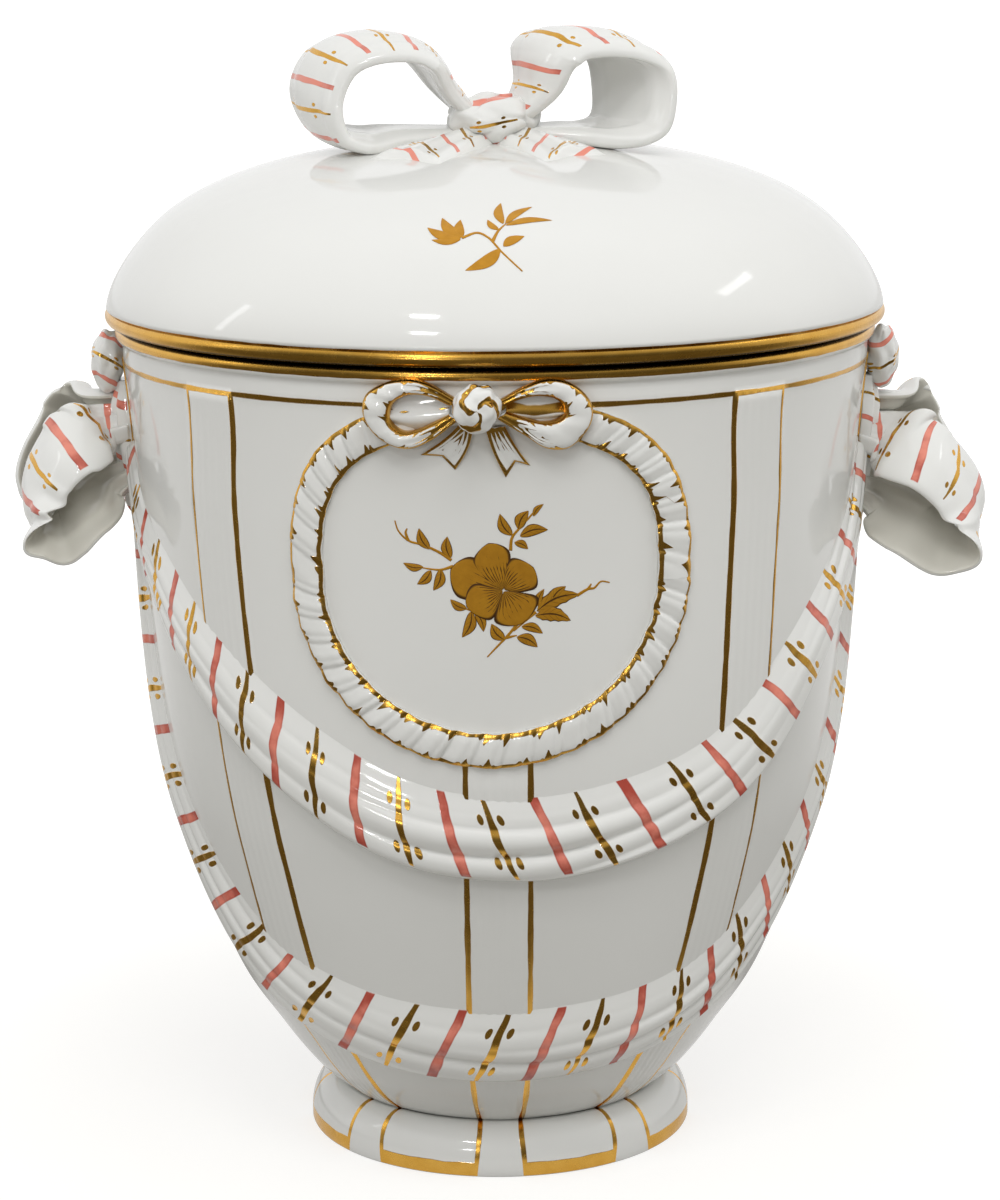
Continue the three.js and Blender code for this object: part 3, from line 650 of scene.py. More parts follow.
def medallion_piece(name, facing, node):
    def middle_line(along):
        turn = along * 2 * pi
        square = 2 / 2.7 if sin(turn) > 0 else 1
        return power_of(cos(turn), square), power_of(sin(turn), square)

    def place(along, around):
        side, up = middle_line(along)
        bend = around * 2 * pi
        level = power_of(cos(bend), 0.8)
        under_bow = exp(-((along - 0.255) / 0.045) ** 2) if level < 0 else 0
        outward = medallion_band / 2 * level * (1 - 0.68 * under_bow)
        pleat = along * pleat_count + pleat_lean * level
        cell = floor(pleat)
        fall = pleat - cell
        luck = noise.noise(Vector((cell % pleat_count * 3.7, facing, 2.0)))
        other = noise.noise(Vector((cell % pleat_count * 5.1, facing, 8.0)))
        crease = -pleat_depth * (1 + luck) * exp(-abs(fall - 0.5) / (0.08 if fall < 0.5 else 0.26))
        crease -= small_pleat_depth * (1 + other) * exp(-abs(fall - 0.2) / 0.08)
        crease *= ease(fall, 0, 0.12) * ease(fall, 1, 0.78)
        swell = 0.35 * noise.noise(Vector((along * 31, outward * 160, facing)))
        if sin(bend) > -0.02:
            crown = 1 - abs(level) ** 3.5
            relief = crease * (0.7 - 0.1 * crown) + swell
            lift = max(mix(medallion_edge_lift, medallion_proud, crown) + relief * mm, 0.45 * mm)
            edge = medallion_band / 2 - abs(outward)
        else:
            lift, edge = -0.9 * mm, off_edge
        slant = Vector((side / medallion_half_width, up / medallion_half_height)).normalized()
        wave = 0.35 * mm * noise.noise(Vector((along * 55, level, facing + 5)))
        across_girth = side * medallion_half_width + slant.x * (outward + wave)
        up_wall = up * medallion_half_height + slant.y * (outward + wave)
        point = over_wall(facing + medallion_angle, medallion_height, across_girth, up_wall, lift + 0.5 * mm)
        return point, (pleat + (0.37 if level > 0 else 0), edge, off_knot)

    bm = roll_out(1160, 30, place, ring=True)
    bmesh.ops.remove_doubles(bm, verts=bm.verts, dist=0.002 * mm)
    fire_piece(name, bm, medallion_glaze, "ribbon_porcelain", "jar", node)


def gilt_edging(finish, line_half, spike_length, root_length):
    """Mask of a gilt line along an edge, with spikes at the creases and rays from a knot"""
    pleat, edge, root = finish.painting()
    cell = floor(pleat)
    fall = pleat - cell
    crease_at = 0.3 * finish.chance(cell + 0.37) + 0.35
    at_crease = (1 - abs(fall - crease_at) / 0.26) | 0
    teeth = (0.10 / mm * edge + 3.4 * fall).zigzag() ** 0.9
    spike = spike_length * (0.65 * finish.chance(cell) + 0.4) * at_crease * teeth
    line = line_half * (0.9 * finish.mottle(6 * mm, 1) + 0.5)
    outline = edge.under(spike + line, 0.10 * mm)
    ray = (edge / (1.1 * mm)).zigzag() ** 1.5
    ray_length = root_length * (2 * finish.mottle(3 * mm, 1) * ray + 0.38)
    return outline | root.under(ray_length, 0.15 * mm)


medallion_finish = Finish("pleated ribbon glaze with gilt edges")
medallion_glaze = glaze(medallion_finish, gilt_edging(medallion_finish, 0.95 * mm, 3.4 * mm, 0.1 * mm))
for side_name, facing in sides:
    medallion_piece(f"medallion_ring_{side_name}", facing, f"medallion_{side_name}")


# Gilt flower sprays: a five-petalled blossom with sprigs of leaves, painted in matt gold
# inside each medallion and drawn over in fine dark veins. The paint stands a hair proud
# of the glaze.
spray_girth = 1.4 * mm
spray_height = 181 * mm
flower_centre = (0.4, -1.6)
petals = (
    (157, 14.8, 11.8, 0.08), (107, 13.2, 10.2, 0.11), (38, 9.8, 10.4, 0.14),
    (204, 10.6, 10.2, 0.17), (298, 10.2, 12.4, 0.20),
)
flower_leaves = (
    (2.6, 13.0, 118, 6.6, 3.0), (4.2, 14.6, 62, 5.6, 3.2), (4.6, 12.8, 12, 7.4, 3.2),
    (3.2, 11.2, -28, 4.0, 2.2), (8.0, 18.0, 50, 4.2, 1.6),
    (-13.2, 7.0, 98, 5.8, 2.9), (-18.6, 9.2, 116, 6.2, 2.8), (-20.4, 4.4, 170, 5.4, 2.2),
    (-18.4, 3.6, 226, 5.4, 2.6), (-15.8, 4.0, 250, 6.2, 2.9),
    (-9.2, -6.6, 150, 5.0, 2.4), (-8.0, -7.2, 250, 7.6, 3.2), (-7.0, -7.6, 292, 5.6, 2.4),
    (0.6, -15.0, 128, 5.6, 3.2), (5.0, -11.4, -20, 6.0, 2.6), (3.8, -14.2, -28, 6.2, 3.2),
    (9.0, -7.4, 20, 12.0, 5.0), (8.6, -8.6, -10, 9.6, 4.4), (9.4, -6.2, 72, 5.0, 2.0),
    (12.6, -5.4, 48, 6.0, 3.0),
)
flower_stems = (
    ((2.2, 9.0), (2.6, 12.4), (4.4, 14.8), (7.4, 18.2), (9.2, 20.6)),
    ((-13.0, 6.4), (-16.4, 8.6), (-20.6, 10.4), (-24.2, 11.4), (-26.8, 14.0), (-27.6, 16.6)),
    ((-24.2, 11.4), (-24.8, 13.6), (-24.4, 14.6)), ((-12.6, 4.8), (-16.0, 3.8), (-20.6, 4.2)),
    ((-5.4, -6.2), (-8.2, -6.9), (-9.4, -6.6)), ((-6.2, -6.6), (-7.6, -7.6)),
    ((5.0, -9.4), (1.4, -13.8), (-1.8, -17.2), (-4.0, -19.6)), ((1.0, -14.4), (3.8, -13.8)),
    ((8.8, -7.6), (6.4, -9.6), (3.0, -12.6)),
    ((19.6, -3.6), (22.6, -2.0), (24.2, -1.8), (26.0, -0.2), (28.4, -0.6)),
    ((22.6, -2.0), (23.4, -0.6)),
)


def gild_leaf(bm, lay, root, direction, length, width, lift, bow=0.12, veined=True):
    """One leaf or petal of gold: a thin lens laid from its root, bowed a little to one side"""
    turn = radians(direction)
    is_petal = width > 0.7 * length

    def place(share, around):
        swing = 2 * pi * around
        along = (1 - cos(pi * share)) / 2 if is_petal else share
        if is_petal:
            body = max(0, sin(pi * along ** 1.5)) ** 0.55 * (1 + 0.05 * sin(along * 9 + direction))
        else:
            notches = 0.16 * abs(sin(along * 4.5 * pi)) if width > 4.2 else 0
            body = sin(pi * along ** 0.85) ** 0.85 * (1 - notches)
        across = width / 2 * body * cos(swing)
        forward = along * length * (1 + (0.05 * cos(3.1 * cos(swing)) if is_petal else 0) * along * body)
        sideways = across + bow * length * sin(pi * along)
        up = lift + (0.11 if sin(swing) > 0 else 0.13) * sin(swing) * body ** 0.5
        x = root[0] + forward * cos(turn) - sideways * sin(turn)
        y = root[1] + forward * sin(turn) + sideways * cos(turn)
        kind = (1.0 if is_petal else 2.0) if veined else 0.0
        return lay(x * mm, y * mm, up * mm), (along, cos(swing) if sin(swing) > -0.01 else 0.5, kind)

    roll_out(26, 24 if is_petal else 16, place, bm)


def gild_stem(bm, lay, points, thickness, lift):
    """A fine gold line through points, thinning towards its end"""
    path = run_through([Vector((x, y, 0)) for x, y in points])

    def place(along, around):
        here, ahead = path(along)
        half = thickness * mix(0.55, 0.22, along)
        swing = 2 * pi * around
        across = half * cos(swing)
        up = lift + 0.06 * sin(swing)
        point = lay((here.x - ahead.y * across) * mm, (here.y + ahead.x * across) * mm, up * mm)
        return point, (0.9, 0.0, 0.0)

    roll_out(10 * len(points), 8, place, bm)


def pace(before, here, there, gap, next_gap):
    """How fast, and which way, a path through three points passes the one in the middle"""
    return (here - before) / gap - (there - before) / (gap + next_gap) + (there - here) / next_gap


def run_through(points):
    """The bend a ribbon takes through points: a place and a direction at a share of the way"""
    knots = [points[0] * 2 - points[1], *points, points[-1] * 2 - points[-2]]

    def at(share):
        share = min(1, max(0, share)) * (len(points) - 1)
        span = min(int(share), len(points) - 2)
        before, here, there, beyond = near = knots[span:span + 4]
        gaps = [max(1e-9, (high - low).length) ** 0.5 for low, high in zip(near, near[1:])]
        leave = pace(before, here, there, gaps[0], gaps[1]) * gaps[1]
        arrive = pace(here, there, beyond, gaps[1], gaps[2]) * gaps[1]
        part = share - span
        bend = here * 2 - there * 2 + leave + arrive
        sweep = there * 3 - here * 3 - leave * 2 - arrive
        return bend * part ** 3 + sweep * part ** 2 + leave * part + here

    def path(share):
        return at(share), (at(share + 0.0005) - at(share - 0.0005)).normalized()

    return path


def vein_lines(finish):
    """Mask of the dark drawing: fans of lines in the petals, a midrib and side veins in the leaves"""
    along, across, kind = finish.painting()
    from_midrib = abs(across)
    fan_end = 0.9 * finish.mottle(1.6 * mm, 1) + 0.08
    fan_width = (along - fan_end).fade(0.1, -0.45, 0.0, 0.42)
    fan = ((5.2 * across).zigzag() - fan_width).fade(0.05, -0.08)
    side_veins = (6 * along - 1.5 * from_midrib).zigzag().fade(0.18, 0.0)
    veins = mix(fan, from_midrib.fade(0.16, 0.06) | 0.6 * side_veins, kind > 1.5)
    outline = from_midrib.fade(0.80, 0.93) | along.fade(0.955, 0.985)
    return (veins | outline) * (kind > 0.5)


matt_gold = Finish("matt gold with dark veins")
matt_gold_light = (0.66, 0.32, 0.02, 1)
matt_gold_dark = (0.44, 0.19, 0.006, 1)
vein_brown = (0.085, 0.035, 0.005, 1)
dark_line = vein_lines(matt_gold)
brushed = matt_gold.mottle(2.5 * mm, 4)
gold_ground = matt_gold.blend(brushed, matt_gold_light, matt_gold_dark)
matt_gold.coat({
    "Base Color": matt_gold.blend(dark_line, gold_ground, vein_brown),
    "Metallic": 0.4,
    "Roughness": 0.2 * brushed + 0.36,
}, -0.03 * mm * dark_line)

for side_name, facing in sides:
    spray = bmesh.new()

    def lay_spray(x, y, lift):
        return over_wall(facing, spray_height, spray_girth + x, y, lift)

    for x, y, direction, length, width in flower_leaves:
        gild_leaf(spray, lay_spray, (x, y), direction, length, width, 0.06)
    for stem in flower_stems:
        gild_stem(spray, lay_spray, stem, 0.8, 0.05)
    for direction, length, width, lift in petals:
        turn = radians(direction)
        root = (flower_centre[0] + 0.3 * cos(turn), flower_centre[1] + 0.3 * sin(turn))
        gild_leaf(spray, lay_spray, root, direction, length - 0.3, width, lift, 0.05)
    fire_piece(f"gilt_spray_{side_name}", spray, matt_gold.material, "porcelain", "jar")


# Bows on the medallions: modelled by hand over the medallion's top, a twisted knot, two
# puffed loops with a hollow, and two tails cut in a swallow's notch. Gold outlines them,
# rays out from the knot and lies in the hollows.
bow_height = 228.6 * mm
bow_angle = radians(-2.4)
bow_knot_radius = 6.2 * mm
bow_lift = 2.9 * mm
bow_loops = {
    "left": (
        ((-4.5, 1.6), (-12.4, 6.0), (-17.4, 6.9), (-23.0, 5.8), (-27.9, 2.6), (-28.8, -1.6), (-26.2, -6.9),
         (-21.2, -10.3), (-16.8, -10.8), (-11.4, -8.4), (-4.5, -3.0)),
        ((-7.0, 0.2), (-11.4, 2.3), (-14.6, 2.9), (-17.8, 2.5), (-20.9, 0.5), (-21.9, -2.0), (-21.0, -4.8),
         (-18.2, -6.3), (-14.8, -5.6), (-11.2, -3.8), (-7.0, -1.6)),
        0.5,
    ),
    "right": (
        ((4.5, 1.2), (12.0, 5.4), (17.4, 6.9), (22.6, 5.9), (26.8, 2.6), (28.6, -1.4), (27.4, -6.0),
         (22.6, -10.8), (17.2, -10.8), (11.6, -7.2), (4.5, -2.6)),
        ((7.0, 0.4), (11.4, 2.0), (15.0, 2.5), (18.6, 1.9), (21.0, 0.1), (21.4, -1.5), (19.4, -3.3),
         (16.0, -3.7), (13.2, -3.0), (10.2, -1.9), (7.0, -0.9)),
        1.9,
    ),
}
bow_tails = {
    "left": ((-4.6, -4.6), (-1.2, -5.8), (-15.2, -13.4), (-6.2, -17.2), (-9.6, -13.6)),
    "right": ((1.8, -5.8), (6.8, -5.2), (7.0, -19.2), (13.4, -16.2), (9.6, -15.0)),
}
bow_underside = -0.15
no_spike = 0.12
no_gold = (no_spike, off_edge, off_knot)
edged_finish = Finish("bow glaze with gilt edges")
edged_glaze = glaze(edged_finish, gilt_edging(edged_finish, 0.85 * mm, 1.8 * mm, 7.5 * mm))


def on_bow(facing, across, up, lift):
    """A place on a bow, in millimetres from the middle of the wall under it"""
    return over_wall(facing + bow_angle, bow_height, across * mm, up * mm, bow_lift + lift * mm)


def bow_loop(name, facing, side_name, node):
    outline, hollow, wash = bow_loops[side_name]
    outer = run_through([Vector((x, y, 0)) for x, y in outline])
    inner = run_through([Vector((x, y, 0)) for x, y in hollow])
    seed = Vector((len(side_name), facing, 3))

    def place(along, around):
        outside, inside = outer(along)[0], inner(along)[0]
        middle, half = (outside + inside) / 2, (outside - inside) / 2
        swing = 2 * pi * around
        level = power_of(cos(swing), 0.85)
        fill = sin(pi * along)
        dent = 0.5 * noise.noise(middle * 0.14 + seed) + 0.35 * noise.noise(middle * 0.33 + seed)
        crease = exp(-((level - 0.15) / 0.22) ** 2) * (1 - ease(fill, 0.35, 0.9))
        high = power_of(sin(swing), 0.75) * (mix(1.7, 3.1, fill ** 0.6) + dent - 0.8 * crease)
        spot = middle + half * level
        edge = half.length * (1 - abs(level)) if sin(swing) > bow_underside else 0
        root = min(along, 1 - along) * 52
        point = on_bow(facing, spot.x, spot.y, 0.4 + high)
        return point, (along * 7 + 0.3 * level, edge * mm, root * mm)

    bm = roll_out(120, 30, place, plain=no_gold)

    def floor_patch(along, around):
        swing = 2 * pi * around
        x = mix(hollow[0][0], hollow[5][0] * 1.08, along)
        tops, lows = hollow[1:5], hollow[6:10]
        body = sin(pi * min(1, 0.1 + 0.9 * along)) ** 0.5
        centre = mix(-0.4, (tops[2][1] + lows[1][1]) / 2, along)
        half = (tops[2][1] - lows[1][1]) / 2 * 1.15 * body
        y = centre + half * cos(swing)
        puff = 1.5 * max(0, sin(swing)) * exp(-((cos(swing) + 0.45) / 0.45) ** 2)
        line = abs(cos(swing) - 0.1 + 0.25 * sin(4 * along)) * half / wash
        point = on_bow(facing, x, y, -1.0 + 0.5 * sin(swing) + puff)
        return point, (no_spike, (line + 0.25) * mm, off_knot)

    roll_out(36, 24, floor_patch, bm, plain=no_gold)
    fire_piece(name, bm, edged_glaze, "ribbon_porcelain", "jar", node)


def bow_tail(name, facing, side_name, node):
    near, far, low, high, notch = (Vector((x, y, 0)) for x, y in bow_tails[side_name])

    def place(along, around):
        swing = 2 * pi * around
        level = power_of(cos(swing), 0.7)
        end = low.lerp(notch, 1 + level) if level < 0 else notch.lerp(high, level)
        start = near.lerp(far, (level + 1) / 2)
        spot = start.lerp(end, along)
        spot.x += 0.9 * sin(pi * along) * (1 if side_name == "left" else -0.6)
        length = (low - near).length
        half = mix((far - near).length, (high - low).length, along) / 2
        pleat = 0.45 * cos(2.2 * pi * level) * (1 - 0.5 * along)
        sag = mix(0, -1.6, along ** 1.5)
        thinned = 1 - ease(along, 0.90, 1.0)
        up = -1.1 + sag + (0.7 * sin(swing) + pleat * max(0, sin(swing))) * thinned
        edge = min(half * (1 - abs(level)), (1 - along) * length) if sin(swing) > bow_underside else 0.3
        return on_bow(facing, spot.x, spot.y, up), (no_spike, edge * mm, (along * length + 1.5) * mm)

    bm = roll_out(52, 28, place, plain=no_gold)
    fire_piece(name, bm, edged_glaze, "ribbon_porcelain", "jar", node)


def swirled(direction, fall):
    """The bow knots' gold lies in their spiral grooves"""
    spread = 0.6 + 1.2 * abs(noise.noise(direction * 2.1))
    return no_spike, abs(fall - 0.5) * 5.2 / spread * mm, off_knot


def tie_knot(name, middle, radii, turn, twist, depth, paint, material, body, node):
    """A round knot: a ball of clay with the ribbon's wraps pressed in as spiral grooves"""
    bm = bmesh.new()
    bmesh.ops.create_uvsphere(bm, u_segments=96, v_segments=64, radius=1)
    painting = bm.loops.layers.float_vector.new("painting")
    bm.faces.ensure_lookup_table()
    for vert in bm.verts:
        direction = vert.co.normalized()
        latitude = direction.y
        swirl = atan2(direction.z, direction.x) / (2 * pi) + twist * latitude
        wrap = swirl * 3 + 0.12 * noise.noise(direction * 2.3 + Vector((turn, twist, 4)))
        fall = wrap - floor(wrap)
        crease = exp(-abs(fall - 0.5) / 0.09) * (1 - 0.8 * ease(abs(latitude), 0.75, 1.0))
        bulge = 0.13 * noise.noise(direction * 2.0 + Vector((turn, 0, 0)))
        scale = 1 + bulge - depth * crease
        for loop in vert.link_loops:
            loop[painting] = paint(direction, fall)
        vert.co = Vector((direction.x * radii[0], direction.y * radii[1], direction.z * radii[2])) * scale
    bmesh.ops.rotate(bm, verts=bm.verts, cent=(0, 0, 0), matrix=Matrix.Rotation(turn, 3, "Z"))
    bmesh.ops.translate(bm, verts=bm.verts, vec=middle)
    fire_piece(name, bm, material, "ribbon_porcelain", body, node)


for side_name, facing in sides:
    for hand_name in bow_loops:
        name = f"bow_{side_name}_{hand_name}"
        node = f"{side_name}_bow_{hand_name}"
        bow_loop(f"{name}_puffed_loop", facing, hand_name, f"{node}_loop")
        bow_tail(f"{name}_notched_tail", facing, hand_name, f"{node}_tail")
    knot_middle = on_wall(facing + bow_angle, bow_height, bow_lift + bow_knot_radius * 0.65)
    knot_radii = (bow_knot_radius, bow_knot_radius * 0.9, bow_knot_radius)
    tie_knot(f"bow_{side_name}_twisted_knot", knot_middle, knot_radii, facing, 0.35, 0.11, swirled,
             edged_glaze, "jar", f"{side_name}_bow_knot")


# Handles: at each side the ribbon is gathered in pleats down the wall and tied in a
# knot under the rim, and two hand-bent loops hang from it, luted on and left open for
# a finger. They are striped like the swags outside, and painted grey inside as shade.
handle_knot_height = 226 * mm
handle_knot_size = (4.8 * mm, 7.6 * mm, 8.9 * mm)
neck_bottom = 180 * mm
neck_top = 221 * mm
neck_front_share = 0.84
knot_bar_scale = 2.1
neck_bar_scale = 1.6
loop_bar_scale = 1.4
neck_proud = 4.6
loop_gap = 0.3
loop_root_buried = 5 * mm
loop_spread = (4, 17)
loop_widths = (12, 25)
loop_thicknesses = (4.6, 3.8)
loop_crown = 2.2
ribbon_lean = Vector((-0.25, 0.72, -0.65))
handle_loops = (
    ("left_handle_front_loop", -1, -1, 1.6, 130.0, 209, 206, 181.5, 195, 1.5),
    ("left_handle_back_loop", -1, 1, 1.7, 133.6, 213, 210, 181, 198, 1.2),
    ("right_handle_front_loop", 1, -1, 0.8, 134.4, 205, 201, 176.5, 189, 0.6),
    ("right_handle_back_loop", 1, 1, 1.7, 129.4, 211, 207, 182, 196, 1.5),
)


def barred(radii, slant, scale):
    """The painter's bars run level round a knot, with a little slant"""
    def paint(direction, fall):
        level = direction.x * radii[0]
        position = direction.z * radii[2] + slant * (level + 0.5 * direction.y * radii[1])
        return position * scale, level * scale, 7.5 * mm * scale
    return paint


def handle_neck(name, hand, node):
    def place(along, around):
        height = mix(neck_bottom, neck_top, along)
        half = mix(5.2, 8.0, ease(along, 0, 0.6)) - 3.6 * ease(along, 0.66, 1.0)
        if around <= neck_front_share:
            across = -cos(pi * around / neck_front_share)
            body = (1 - across * across) ** 0.4
            gather = 0.95 * cos(pi * 4.2 * across + 1.3 * sin(4 * along + hand))
            rising = ease(along, -0.05, 0.14)
            sinking = mix(1, 0.6, ease(along, 0.8, 1))
            lift = (mix(3.0, neck_proud, ease(along, 0, 0.6)) + gather) * body * rising * sinking + 0.8
            half_painted = half * mm * 2.2
        else:
            across = cos(pi * (around - neck_front_share) / (1 - neck_front_share))
            lift, half_painted = -0.8, 0
        point = over_wall(hand * pi / 2, height, across * half * mm, 0, lift * mm)
        position = (height + 0.9 * across * half * mm) * neck_bar_scale
        return point, (position, across * half * mm * neck_bar_scale, half_painted)

    fire_piece(name, roll_out(70, 70, place), ribbon_glaze, "ribbon_porcelain", "jar", node)


def bend_ribbon(node, body, path, side_at, width_at, thick_at, crown_at, folds_at, phase, scale,
                slant=0.0, squared=True):
    """A length of ribbon bent along a path, its outer face painted and its edges rounded"""
    steps = 160
    spots = [path(step / steps) for step in range(steps + 1)]
    lengths = lengths_along([spot for spot, _ in spots])

    def place(along, around):
        step = round(along * steps)
        centre, run = spots[step]
        side = side_at(along).copy()
        if squared:
            side -= run * side.dot(run)
            side.normalize()
        outward = run.cross(side).normalized()
        swing = 2 * pi * around
        level = power_of(cos(swing), 0.66)
        bulge = power_of(sin(swing), 0.72)
        width = width_at(along)
        across = level * width / 2
        crown = crown_at(along) * (0.5 - level * level)
        lift = bulge * thick_at(along) / 2 + crown + folds_at(along, level)
        half = width / 2 if bulge > -0.05 else 0
        position = lengths[step] + phase + slant * level * width / 2
        return centre + side * across + outward * lift, (position * scale, across * scale, half * scale)

    ribbon = roll_out(steps, 56, place)
    fire_piece(f"{node}_ribbon", ribbon, ribbon_glaze, "ribbon_porcelain", body, node)


def handle_loop(node, hand, side, root_lift, reach, upper_root, crest, tip, lower_root, pinch):
    def spot(out, spread, height):
        buried = loop_root_buried if out == 0 else 0
        seat = wall_radius(height * mm) + (loop_gap + neck_proud + root_lift) * mm - buried
        return Vector((hand * mix(seat, reach * mm, out), side * mix(*loop_spread, spread) * mm, height * mm))

    path = run_through([
        spot(0, 0, upper_root), spot(0.13, 0.07, mix(upper_root, crest, 0.3)),
        spot(0.3, 0.72, mix(upper_root, crest, 0.7)), spot(0.56, 1, crest - 2),
        spot(0.84, 1, mix(crest, tip, 0.38)), spot(1, 1, mix(crest, tip, 0.75)), spot(0.95, 1, tip),
        spot(0.68, 1, tip - 1.5), spot(0.4, 0.9, mix(tip, lower_root, 0.22)),
        spot(0.17, 0.28, mix(tip, lower_root, 0.7)), spot(0, 0, lower_root),
    ])
    lean = Vector((hand * ribbon_lean.x, side * ribbon_lean.y, ribbon_lean.z)) * (hand * side)
    near_edge = hand * side
    seed = Vector((hand * 2.0, side * 3.0, 1))

    def fill(along):
        quick, bend = (1.5, 1.25) if hand < 0 else (2.0, 1.05)
        return min(1, quick * sin(pi * along) ** bend) if 0 < along < 1 else 0

    def folds(along, level):
        gathered = (1 - fill(along)) * cos(3 * pi * level)
        middle = 0.2 + 0.5 * (along - 0.35)
        crease = 1.1 * fill(along) * exp(-abs(level - middle) / 0.16) * ease(along, 0.25, 0.45)
        ripple = 0.7 * fill(along) * noise.noise(Vector((along * 7, level * 1.2, 0)) + seed)
        window = ease(along, 0.38, 0.48) * ease(along, 0.74, 0.66)
        peak = pinch * cos(2 * pi * (along - 0.50) / 0.105) * window * ease(level * near_edge, -0.2, 0.9)
        return (gathered - crease + ripple + peak) * mm

    bend_ribbon(
        node, "jar", path,
        side_at=lambda along: lean,
        width_at=lambda along: mix(*loop_widths, fill(along)) * mm,
        thick_at=lambda along: mix(*loop_thicknesses, fill(along)) * mm,
        crown_at=lambda along: loop_crown * fill(along) * mm,
        folds_at=folds, phase=4 * mm, scale=loop_bar_scale,
        slant=-hand * side * (0.1 if hand < 0 else 0.25))


for hand_name, hand in (("left", -1), ("right", 1)):
    out = wall_radius(handle_knot_height) + 0.4 * mm + handle_knot_size[0]
    tie_knot(f"{hand_name}_handle_tied_knot", Vector((hand * out, 0, handle_knot_height)),
             handle_knot_size, 0.0, 0.2, 0.05, barred(handle_knot_size, -0.55 * hand, knot_bar_scale),
             ribbon_glaze, "jar", f"{hand_name}_handle_knot")
    handle_neck(f"{hand_name}_handle_gathers", hand, f"{hand_name}_handle_neck")
for loop in handle_loops:
    handle_loop(*loop)


# Lid: a domed cover with a rolled edge that rests on the rim, and a flange inside that
# keeps it centred. It is glazed all over but for the ring it was fired on, and its
# rolled edge is a burnished gold band.
lid_radius = 110.3 * mm
lid_seat = 238.3 * mm
lid_band = 4.4 * mm
lid_shoulder = Vector((95.3 * mm, lid_seat + 27.7 * mm))
lid_crown = lid_seat + 50.2 * mm
lid_thickness = 5.5 * mm
lid_flange_gap = 1.3 * mm
lid_gilt_top = 243.15 * mm
shoulder_run = Vector((-cos(radians(43)), sin(radians(43))))
lid_edge = Vector((lid_radius - 0.4 * mm, lid_seat + lid_band))
dome_rows = [
    *geometry.interpolate_bezier(lid_edge, lid_edge + Vector((-0.8 * mm, 8 * mm)),
                                 lid_shoulder - shoulder_run * 8 * mm, lid_shoulder, 24),
    *geometry.interpolate_bezier(lid_shoulder, lid_shoulder + shoulder_run * 20 * mm,
                                 Vector((lid_shoulder.x * 0.52, lid_crown)), Vector((0, lid_crown)), 48)[1:],
]


def lid_outline():
    rows = [(point.x, point.y) for point in reversed(dome_rows)]
    edge_round = lid_band / 2
    for bend in range(75, -91, -15):
        reach = lid_radius - edge_round + edge_round * cos(radians(bend))
        rows.append((reach, lid_seat + edge_round * (1 + sin(radians(bend)))))
    flange = frieze_radius - wall_thickness - lid_flange_gap
    rows += section_points(flange, lid_seat, (
        (1, 0), (0, -0.6), (0, -7.8), (-0.4, -8.7), (-1.2, -9),
        (-2.8, -9), (-3.6, -8.7), (-4, -7.8), (-4, 2)))
    shrink = (lid_shoulder.x - lid_thickness) / lid_shoulder.x
    rows += [(point.x * shrink, point.y - lid_thickness) for point in dome_rows[24::3]]
    rows.append((0, lid_crown - lid_thickness))
    return rows


lid_finish = Finish("lid glaze with gilt edge")
lid_waver = 0.6 * mm * lid_finish.mottle(12 * mm, 1) + lid_finish.z
lid_gilding = lid_waver.fade(lid_gilt_top, lid_gilt_top - 0.2 * mm) * (lid_finish.radius() > 104.5 * mm)
# Painted shadow: the lid's gold band is painted near-black along its lower rolled edge, over the gap above
# the rim
lid_glaze = glaze(lid_finish, lid_gilding, lid_finish.z.fade(239.3 * mm, 238.7 * mm))
fire_piece("lid_dome", turn_on_wheel(lid_outline()), lid_glaze, "porcelain", "lid", "lid_shell")


# Gilt sprigs on the lid: a small bud on a bent stem with a few slim leaves, painted on
# the front and the back of the dome in the same matt gold as the sprays on the bowl.
dome_lengths = lengths_along(dome_rows)
sprig_climb = 35 * mm
sprig_leaves = (
    (-8.0, -1.5, 128, 10.4, 3.2), (-8.4, -1.8, 156, 10.2, 3.2), (-8.0, -1.0, 100, 7.0, 2.6),
    (-8.4, -2.2, 182, 7.4, 2.4), (3.0, 3.4, 8, 13.0, 2.6), (3.0, 4.0, 44, 11.4, 2.6),
    (2.4, 4.0, 92, 10.2, 2.8), (1.2, 1.4, 124, 5.4, 2.0), (1.4, -5.6, 221, 10.8, 3.6),
    (2.2, -4.8, 34, 6.6, 3.0),
)
sprig_stems = (
    ((-8.2, -1.6), (-4.4, 0.4), (-1.6, -1.4), (1.6, -6.4), (6.4, -13.0)),
    ((-0.4, -2.8), (1.0, 1.0), (3.0, 4.0)),
)


def on_dome(climb):
    climb = min(max(climb, 0), dome_lengths[-1])
    row = 0
    while row < len(dome_lengths) - 2 and dome_lengths[row + 1] < climb:
        row += 1
    share = (climb - dome_lengths[row]) / (dome_lengths[row + 1] - dome_lengths[row])
    here = dome_rows[row].lerp(dome_rows[row + 1], share)
    run = (dome_rows[row + 1] - dome_rows[row]).normalized()
    return here, Vector((run.y, -run.x))


for side_name, facing in sides:
    sprig = bmesh.new()

    def lay_sprig(x, y, lift):
        here, outward = on_dome(sprig_climb + y)
        at = here + outward * lift
        angle = facing + x / on_dome(sprig_climb)[0].x
        return Vector((at.x * sin(angle), -at.x * cos(angle), at.y))

    for x, y, direction, length, width in sprig_leaves:
        gild_leaf(sprig, lay_sprig, (x, y), direction, length, width, 0.10, 0.10, veined=False)
    for stem in sprig_stems:
        gild_stem(sprig, lay_sprig, stem, 0.9, 0.07)
    fire_piece(f"gilt_sprig_{side_name}", sprig, matt_gold.material, "porcelain", "lid")


